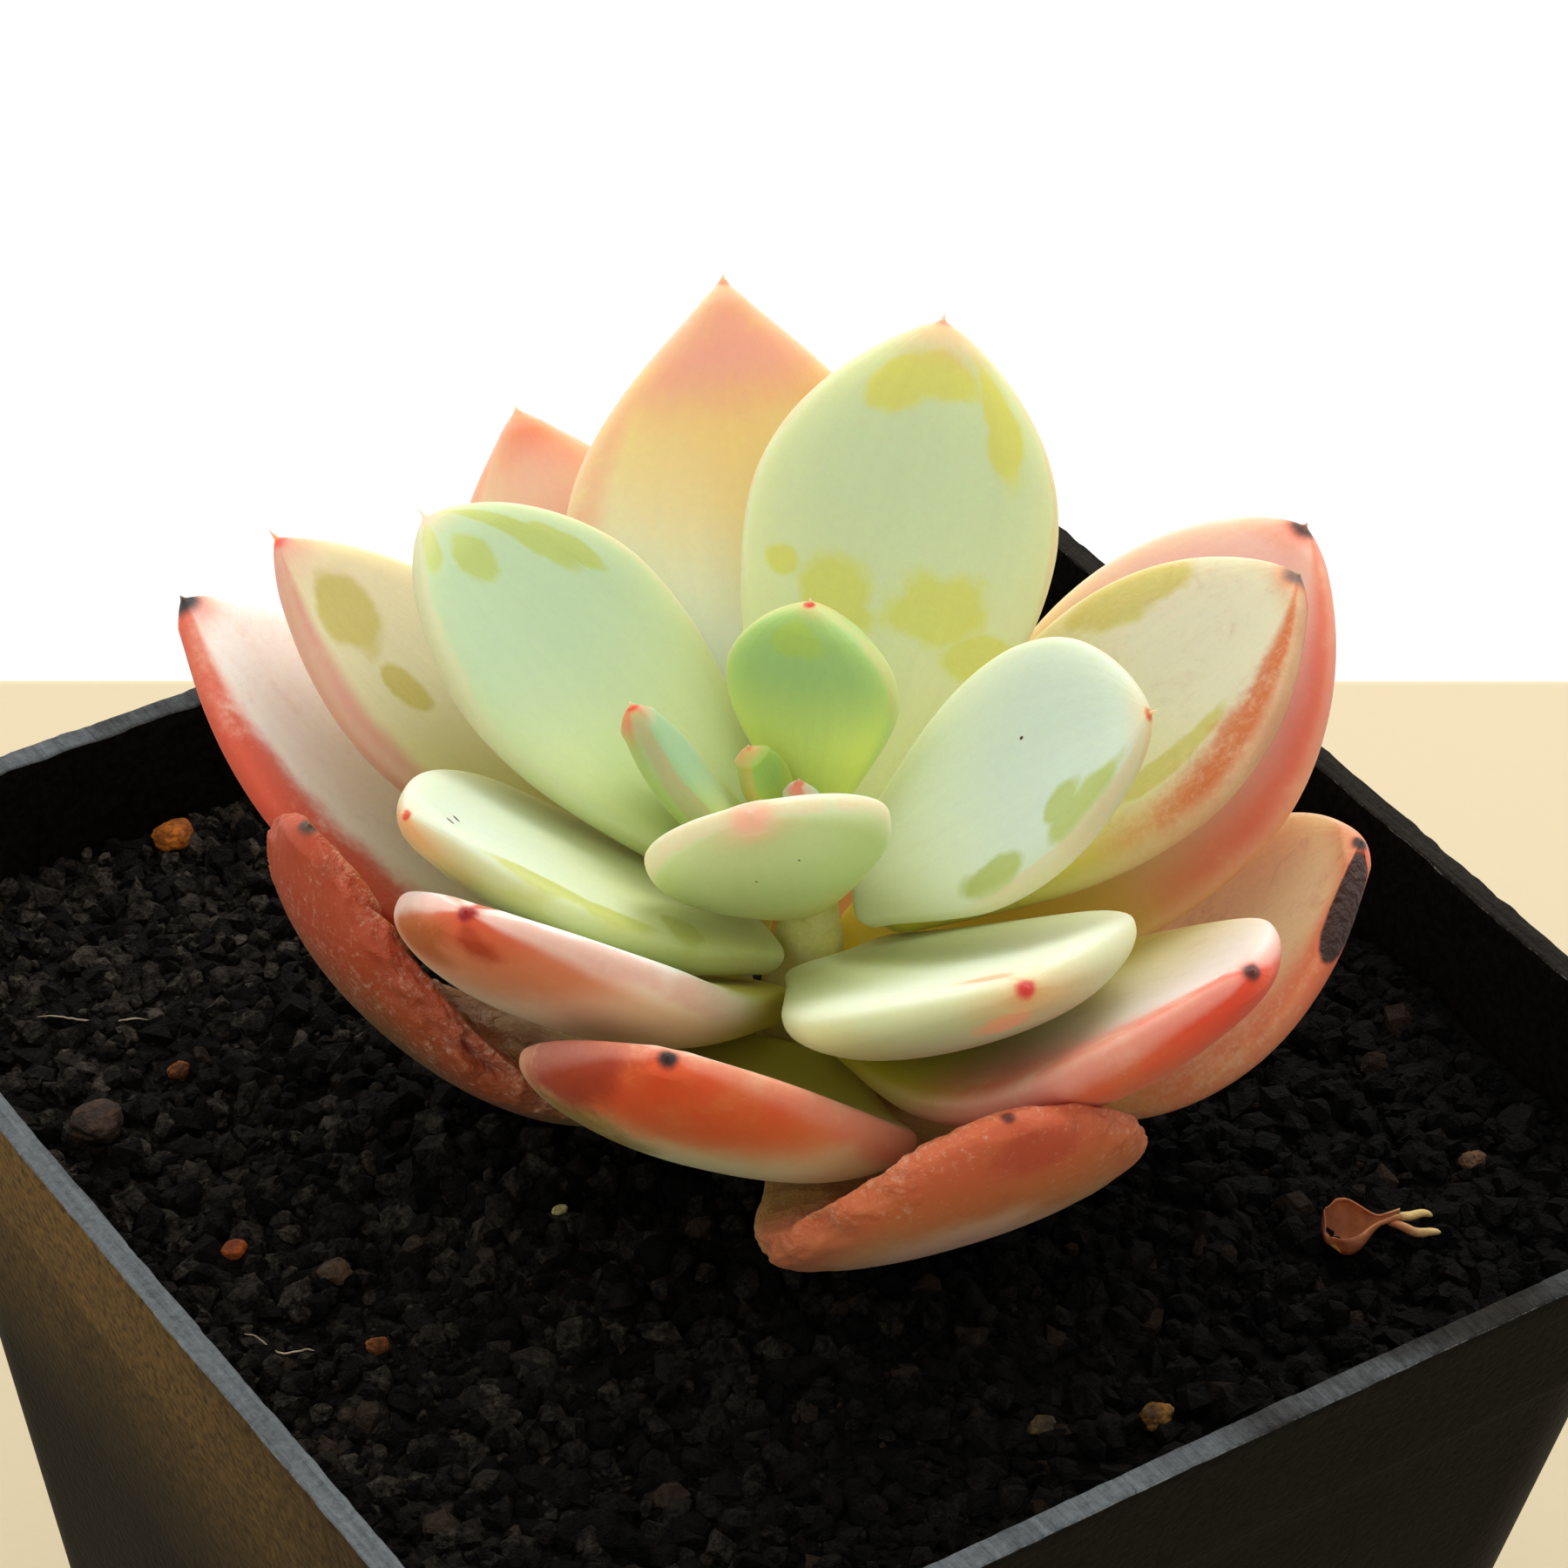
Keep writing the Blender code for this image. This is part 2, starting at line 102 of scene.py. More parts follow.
class StageSettings(bpy.types.PropertyGroup):
    """Floor, light and camera."""
    floor_color: color_setting("Floor", "Colour of the table top", *display(214, 198, 164))
    floor_reach: length_setting("Floor reach", "How far the floor runs to the front and the sides", 0.42)
    floor_behind: length_setting("Floor behind", "From the pot's axis to the floor's far edge", 0.1145)
    floor_turn: angle_setting("Floor turn", "Turn of the floor about Z", -30.6)
    window_strength: number_setting("Window", "Brightness of the white window behind the plant", 1.5)
    fill_strength: number_setting("Fill", "Brightness of the light from the rest of the room", 0.78)
    dark_side: number_setting("Dark side", "Share of the fill that comes from the front right", 0.45)
    key_power: number_setting("Key", "Power of the soft light above and behind the plant, in watts", 1.2)
    lens: number_setting("Lens", "Focal length in millimetres on a 36 mm sensor", 132.85)
    distance: length_setting("Camera distance", "From the camera to the point it aims at", 0.2911)
    aim: bpy.props.FloatVectorProperty(
        name="Aim", description="The point the camera aims at", subtype='TRANSLATION', size=3,
        unit='LENGTH', default=(0.00405, 0.00541, 0.0737))
    azimuth: angle_setting("Azimuth", "Turn of the camera about Z; 0 looks along +Y", -36.68)
    elevation: angle_setting("Elevation", "How far the camera looks down", 37.86)
    roll: angle_setting("Roll", "Turn of the camera about its own line of sight", 3.68)


class PotSettings(bpy.types.PropertyGroup):
    """Sizes and colours of the pot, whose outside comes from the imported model."""
    wall: length_setting("Wall", "Thickness of the pot's wall", 1.35 * MM)
    floor: length_setting("Floor", "Thickness of the pot's floor", 1.6 * MM)
    taper: number_setting("Taper", "How far a side leans in for each unit of depth", 0.147)
    band_height: length_setting("Band height", "Height of the thicker band below the rim", 8.4 * MM)
    band_step: length_setting("Band step", "How far the band stands out from the side below", 1.7 * MM)
    corner: length_setting("Corner radius", "Corner radius of the side, seen from above", 10 * MM)
    edge: length_setting("Foot radius", "Radius of the edge around the foot", 0.35 * MM)
    drain: length_setting("Drain hole", "Diameter of each drain hole", 5 * MM)
    drain_offset: length_setting("Drain offset", "Place of each drain hole along X and Y", 13 * MM)
    burr: length_setting("Burr", "How ragged the cut rim is", 0.07 * MM)
    color: color_setting("Plastic", "Colour of the moulded plastic", 0.0064, 0.0060, 0.0048, 1)
    # Painted reflection: a warm brown that stands in for the table's reflection on the -X wall below the
    # rim.
    dust_and_painted_light: color_setting("Dust", "Colour of the dust below the rim at -X", 0.100, 0.058, 0.018, 1)
    # Painted reflection and shade: the cut rim's pale blue-grey stands in for the sky's reflection towards
    # -X, and its dark colour is the rim towards +X.
    rim_painted_reflection: color_setting("Cut rim", "The scraped rim where it is pale", 0.118, 0.132, 0.140, 1)
    rim_painted_shade: color_setting("Worn rim", "The scraped rim where it is dark", 0.020, 0.018, 0.015, 1)


class SoilSettings(bpy.types.PropertyGroup):
    """The grit and what lies on it."""
    grains: count_setting("Grains", "How many grains lie on the soil", 18000)
    smallest: length_setting("Smallest", "Width of the smallest grains", 0.38 * MM)
    largest: length_setting("Largest", "Width of the largest grains", 2.3 * MM)
    dark: color_setting("Dark", "Colour of the darkest grains", 0.0024, 0.0021, 0.0019, 1)
    dusty: color_setting("Dusty", "Colour of the dustiest grains", 0.200, 0.168, 0.128, 1)


class LeafSettings(bpy.types.PropertyGroup):
    """What all the leaves share."""
    along: count_setting("Rows", "Rows of points along a leaf", 110)
    around: count_setting("Columns", "Points around a leaf", 88)
    translucence: number_setting("Translucence", "Share of the light that passes under the skin", 0.9,
                         min=0, max=1)
    depth: length_setting("Glow depth", "How far red light travels inside a leaf", 3.6 * MM)
    dew: number_setting("Powder sheen", "Strength of the soft sheen of the powdery bloom", 0.10,
                min=0, max=1)


SETTINGS = {
    "succulent_stage": StageSettings,
    "succulent_pot": PotSettings,
    "succulent_soil": SoilSettings,
    "succulent_leaves": LeafSettings,
}


def settings(name):
    """The scene's settings for the stage, the pot, the soil or the leaves."""
    return getattr(bpy.context.scene, "succulent_" + name)


# ---------------------------------------------------------------- surfaces

def smooth_step(low, high, value):
    """0 below low and 1 above high, with a smooth S between them; high may be the lower one."""
    share = np.clip((value - low) / (high - low), 0, 1)
    return share * share * (3 - 2 * share)


def lattice_value(corner, seed):
    """A fixed, random-looking value from -1 to 1 for each whole-numbered lattice corner."""
    mixed = corner @ np.array([374761393, 668265263, 1274126177]) + seed * 362437
    mixed = (mixed ^ (mixed >> 13)) * 1274126177
    mixed = mixed ^ (mixed >> 16)
    return (mixed & 0xFFFF) / 32767.5 - 1


def rough_noise(points, cell, seed=0):
    """Smooth noise from -1 to 1: lattice values a cell apart, blended between the 8 corners."""
    scaled = np.asarray(points) / cell
    corner = np.floor(scaled).astype(np.int64)
    part = scaled - corner
    part = part * part * (3 - 2 * part)
    total = np.zeros(scaled.shape[:-1])
    for offset in np.ndindex(2, 2, 2):
        weight = np.prod(np.where(np.array(offset) == 1, part, 1 - part), axis=-1)
        total += weight * lattice_value(corner + np.array(offset), seed)
    return total


def layered_noise(points, cell, layers=3, seed=0):
    """Noise with finer layers added, each half the size and strength of the one before."""
    total = 0
    for layer in range(layers):
        total = total + rough_noise(points, cell / 2 ** layer, seed + layer) / 2 ** layer
    return total


def direction(azimuth):
    """Unit vector in the XY plane, from +X towards +Y."""
    return np.stack([np.cos(azimuth), np.sin(azimuth)], axis=-1)


def closed_faces(rows, columns):
    """Faces of a tube with a pole at each end: a fan, rows of quads, and another fan.

    The points are the first pole, then rows of columns points, then the last pole.
    """
    column = np.arange(columns)
    beside = (column + 1) % columns
    first = 1 + column
    fan = np.stack([np.zeros_like(column), 1 + beside, first], axis=1)
    row = np.arange(rows - 1)[:, None] * columns + 1
    quads = np.stack([row + column, row + beside, row + columns + beside, row + columns + column],
                     axis=-1).reshape(-1, 4)
    last = 1 + (rows - 1) * columns
    pole = 1 + rows * columns
    end = np.stack([np.full_like(column, pole), last + column, last + beside], axis=1)
    return fan.tolist() + quads.tolist() + end.tolist()


def tube(rings, first, last):
    """Points and faces of a closed tube: rings (rows, columns, 3) between two poles.

    The sum of the triangles' signed volumes tells which way the faces point.
    """
    rows, columns, _ = rings.shape
    points = np.concatenate([[first], rings.reshape(-1, 3), [last]])
    faces = closed_faces(rows, columns)
    quads = np.array(faces[columns:-columns])
    triangles = np.concatenate([quads[:, :3], quads[:, [0, 2, 3]], faces[-columns:]])
    a, b, c = (points[triangles[:, i]] - points[0] for i in range(3))
    if np.einsum('ij,ij->i', a, np.cross(b, c)).sum() < 0:
        faces = [face[::-1] for face in faces]
    return points, faces


def tube_mesh(name, rings, first, last, attributes=None):
    """A closed tube as a mesh. Attributes are arrays of (rows, columns) and two poles' values."""
    points, faces = tube(rings, first, last)
    mesh = bpy.data.meshes.new(name)
    mesh.from_pydata(points.tolist(), [], faces)
    for key, (values, start, end) in (attributes or {}).items():
        layer = mesh.attributes.new(key, 'FLOAT', 'POINT')
        layer.data.foreach_set("value", np.concatenate([[start], values.ravel(), [end]]))
    mesh.shade_smooth()
    return mesh


def add_piece(name, mesh, finish, slot, *nodes):
    """Puts a mesh in the scene as a piece of the object that stands for these CAD nodes."""
    piece = bpy.data.objects.new(name, mesh)
    bpy.context.scene.collection.objects.link(piece)
    mesh.materials.clear()
    mesh.materials.append(finish)
    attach(piece, "root")
    if nodes:
        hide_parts(*nodes)
    return piece


# ---------------------------------------------------------------- finishes

class Socket:
    """A shader value. Arithmetic on it adds Math nodes to its material."""

    def __init__(self, finish, output):
        self.finish = finish
        self.output = output

    def calculate(self, operation, *values):
        return self.finish.node('ShaderNodeMath', {"operation": operation}, dict(enumerate(values)))

    def __add__(self, other):
        return self.calculate('ADD', self, other)

    def __sub__(self, other):
        return self.calculate('SUBTRACT', self, other)

    def __rsub__(self, other):
        return self.calculate('SUBTRACT', other, self)

    def __mul__(self, other):
        return self.calculate('MULTIPLY', self, other)

    def __truediv__(self, other):
        return self.calculate('DIVIDE', self, other)

    def __pow__(self, other):
        return self.calculate('POWER', self, other)

    def __abs__(self):
        return self.calculate('ABSOLUTE', self)

    def larger(self, other):
        return self.calculate('MAXIMUM', self, other)

    __radd__ = __add__
    __rmul__ = __mul__


class Finish:
    """A material under construction, with one Principled shader."""

    def __init__(self, name, **constants):
        self.material = bpy.data.materials.new(name)
        self.material.use_nodes = True
        self.tree = self.material.node_tree
        self.shader = self.tree.nodes["Principled BSDF"]
        for socket, value in constants.items():
            self.feed(self.shader.inputs[socket.replace("_", " ")], value)

    def feed(self, socket, value):
        """Links a shader value to a socket, or sets a plain one."""
        if isinstance(value, Socket):
            self.tree.links.new(value.output, socket)
        else:
            socket.default_value = value

    def node(self, kind, options=None, inputs=None, output=0):
        """Adds a node: its options are set first, then its sockets by name or number."""
        made = self.tree.nodes.new(kind)
        for key, value in (options or {}).items():
            setattr(made, key, value)
        for key, value in (inputs or {}).items():
            self.feed(made.inputs[key], value)
        return Socket(self, made.outputs[output])

    def place(self):
        return self.node('ShaderNodeTexCoord', output="Object")

    def attribute(self, name):
        return self.node('ShaderNodeAttribute', {"attribute_name": name}, output="Fac")

    def noise(self, vector, scale, detail=2.0, distortion=0.0, roughness=0.5):
        """Noise from about -1 to 1, with scale features in each metre."""
        fac = self.node('ShaderNodeTexNoise', None, {
            "Vector": vector, "Scale": scale, "Detail": detail, "Distortion": distortion,
            "Roughness": roughness})
        return (fac - 0.5) * 2.6

    def stretch(self, vector, scale):
        """Coordinates multiplied by a scale for each axis."""
        return self.node('ShaderNodeVectorMath', {"operation": 'MULTIPLY'}, {0: vector, 1: scale})

    def step(self, low, high, value):
        """0 at low and 1 at high, with a smooth S between them."""
        return self.node('ShaderNodeMapRange', {"interpolation_type": 'SMOOTHSTEP'},
                         {0: value, 1: low, 2: high})

    def cells(self, vector, scale):
        """Cells around scattered points: the distance from its point, and each cell's own value."""
        inputs = {"Vector": vector, "Scale": scale}
        return [self.node('ShaderNodeTexVoronoi', None, inputs, output)
                for output in ("Distance", "Color")]

    def axis(self, vector, at):
        """One coordinate of a vector: X, Y or Z for 0, 1 or 2."""
        return self.node('ShaderNodeSeparateXYZ', None, {0: vector}, at)

    def mix(self, factor, first, second):
        """A colour from first to second."""
        return self.node('ShaderNodeMix', {"data_type": 'RGBA'}, {0: factor, 6: first, 7: second}, 2)

    def tone(self, color, factor):
        """A colour made darker or lighter by a factor."""
        color = color if isinstance(color, Socket) else tuple(color)[:3]
        return self.node('ShaderNodeVectorMath', {"operation": 'SCALE'}, {0: color, "Scale": factor})

    def vector(self, x, y, z):
        return self.node('ShaderNodeCombineXYZ', None, {0: x, 1: y, 2: z})

    def done(self, color, roughness, height=None, depth=0.1 * MM):
        """Feeds the shader, with the height as a bump this deep."""
        self.feed(self.shader.inputs["Base Color"], color)
        self.feed(self.shader.inputs["Roughness"], roughness)
        if height is not None:
            bump = self.node('ShaderNodeBump', None,
                             {"Height": height, "Distance": depth, "Strength": 1.0})
            self.feed(self.shader.inputs["Normal"], bump)
        return self.material


def spot_distance(*spans):
    """Distance from a spot's middle, 1 at its edge; a span is a value, its middle and half-size."""
    squares = [((value - middle) / half) ** 2 for value, middle, half in spans]
    return sum(squares[1:], squares[0]) ** 0.5


# ---------------------------------------------------------------- leaves

LEAF_WIDEST = 0.60                  # share of the length where a leaf is widest
LEAF_NECK = 0.36                    # width at the base, of the greatest
LEAF_SWELL = 1.35                   # power of the swelling from the base to the widest place
LEAF_THICKEST = 0.45                # share of the length where a leaf is thickest
LEAF_NECK_THICKNESS = 0.62          # thickness at the base, of the greatest
LEAF_TIP_ROUND = 3.6                # power of the thickness's rounding towards the tip
LEAF_BASE_ROUND = 0.05              # share of the length that rounds off the base
LEAF_ROUND = 2.5                    # power of the section: 2 is an ellipse, and more is boxier
LEAF_UPPER = 0.42                   # share of the thickness above the midrib
POINT_WIDTH = 1.5 * MM              # of the small point at a leaf's tip, where it starts
BOX_TOLERANCE = 1.5 * MM            # a leaf's skin may differ this much from its CAD box
WRINKLE_DETAIL = 1.7                # how much finer the points of a wrinkled leaf are
SKIN_RADII = (1.0, 0.70, 0.36)      # how far red, green and blue light travel, of the glow depth

# For each ring, how far its leaves start from the stem's axis and their thickness, in millimetres
RINGS = {"heart": (1.6, 3.3), "inner": (2.3, 3.4), "middle": (2.6, 3.2), "outer": (2.9, 3.0)}

SCUFF_DUST = display(232, 196, 166)
FRECKLE = display(70, 60, 40)
SCAR_DARK = display(38, 32, 32)
SCAR_PALE = display(150, 140, 136)


class Leaf(NamedTuple):
    """One leaf as the CAD has it: angles in degrees, lengths in millimetres."""
    name: str
    azimuth: float
    height: float
    length: float
    width: float
    lift: tuple
    roll: float = 0
    sway: float = 0
    cup: float = 0.12
    point: float = 0.75
    plump: float = 1.0
    inset: float = 0


LEAVES = [
    Leaf("heart_leaf_1", 197, 17.0, 4.5, 2.0, (73, 82), 0, -0.05, 0.10, 0.9, 0.36, 1.1),
    Leaf("heart_leaf_2", 131, 17.2, 5.5, 3.0, (59, 69), -16, 0.06, 0.10, 0.9, 0.50, 0.4),
    Leaf("heart_leaf_3", 58, 17.8, 10.5, 9.0, (59, 81), -27, 0.06, 0.10),
    Leaf("heart_leaf_4", 152, 15.3, 12.5, 4.5, (41, 62), 0, -0.06, 0.10, 1.0, 0.75),
    Leaf("heart_leaf_5", 217, 14.8, 16.0, 12.0, (45, 57), 27, 0, 0.12, 0.8),
    Leaf("inner_leaf_1", 41, 14.9, 27.5, 16.0, (33, 54), 16, 0, 0.12, 0.8),
    Leaf("inner_leaf_2", 118, 13.4, 25.0, 16.5, (35, 42), 2, 0.04, 0.12, 0.7),
    Leaf("inner_leaf_3", 310, 14.4, 20.0, 14.5, (53, 42), 22, -0.02, 0.12, 0.7),
    Leaf("inner_leaf_4", 169, 11.1, 23.5, 14.5, (29, 40), 7, 0, 0.12, 0.7),
    Leaf("inner_leaf_5", 271, 10.6, 23.5, 19.0, (23, 49), -4, -0.16, 0.13, 0.75, 1.08),
    Leaf("middle_leaf_1", 72, 11.3, 32.5, 18.0, (25, 60), -3, -0.06, 0.12, 1.15),
    Leaf("middle_leaf_2", 118, 9.1, 32.0, 13.5, (16, 44), 0, 0.05, 0.12, 0.9),
    Leaf("middle_leaf_3", 346, 12.5, 27.5, 17.5, (18, 52), -1),
    Leaf("middle_leaf_4", 181, 8.2, 26.0, 17.5, (15, 62), 23, 0.10, 0.15, 0.7, 1.15),
    Leaf("middle_leaf_5", 285, 8.1, 29.5, 18.5, (8, 60), 0, -0.01, 0.15, 0.75, 1.1),
    Leaf("outer_leaf_1", 86, 7.2, 32.5, 15.5, (13, 56), -13, 0.04, 0.12, 1.0),
    Leaf("outer_leaf_2", 128, 5.0, 36.0, 16.5, (8, 48), 3, -0.04, 0.12, 0.85),
    Leaf("outer_leaf_3", 355, 6.8, 33.0, 18.0, (16, 56), 13, 0.06, 0.10, 0.7),
    Leaf("outer_leaf_4", 327, 5.0, 29.5, 18.5, (-12, 68), 0, 0, 0.10, 0.7),
    Leaf("outer_leaf_5", 161, 3.5, 31.5, 16.0, (-16, 89), 19, -0.09, 0.12, 0.65, 0.87),
    Leaf("outer_leaf_6", 221, 5.9, 26.0, 19.0, (4, 71), 0, -0.06, 0.14, 0.7, 1.2),
    Leaf("outer_leaf_7", 259, 2.6, 29.5, 19.0, (-2, 78), 2, -0.04, 0.06, 0.65, 1.15),
    Leaf("outer_leaf_8", 44, 5.1, 25.0, 14.5, (13, 42)),
]


class Look(NamedTuple):
    """Skin of one leaf. Colours are display values, and reaches are shares of its length."""
    top: tuple                      # powdery colour of the upper face
    bare: tuple                     # where the powder is rubbed off
    under: tuple                    # the outer face
    keel: tuple                     # the lowest part of the outer face
    glow: tuple                     # towards the stem: partly the leaf's own yellow-green, partly painted glow of light through the leaf
    flush: tuple                    # stress colour at the tip and along the margins
    point: tuple = (205, 70, 60)    # the small point at the tip
    dot: float = 0.4                # reach of the point's colour, in mm
    flush_top: float = 0.06         # how far the flush reaches down the upper face
    flush_under: float = 0.12       # and down the outer face
    margin: float = 0.06            # width of the flush along the margins
    side: int = 0                   # the margin that flushes: 1 or -1, or 0 for both
    rim: float = 0.45               # paleness of the rim of the margins
    rubbed: tuple = ()              # bare patches: along, across, half length, half width
    stains: tuple = ()              # mottled stains: along, across, half length, half width, colour
    scars: tuple = ()               # dark scars: along, across, over, and half-sizes of each
    wrinkles: float = 0.0           # depth in mm
    scuffs: float = 0.0             # strength of the dusty specks and the worn patches
    flesh: float = 1.0              # how translucent, of the usual
    yellow: float = 0.70            # how far the painted glow towards the stem reaches
    blush: float = 0.5              # strength of the wide, faint part of the flush
    spike: float = 0.45             # length of the small point, in mm


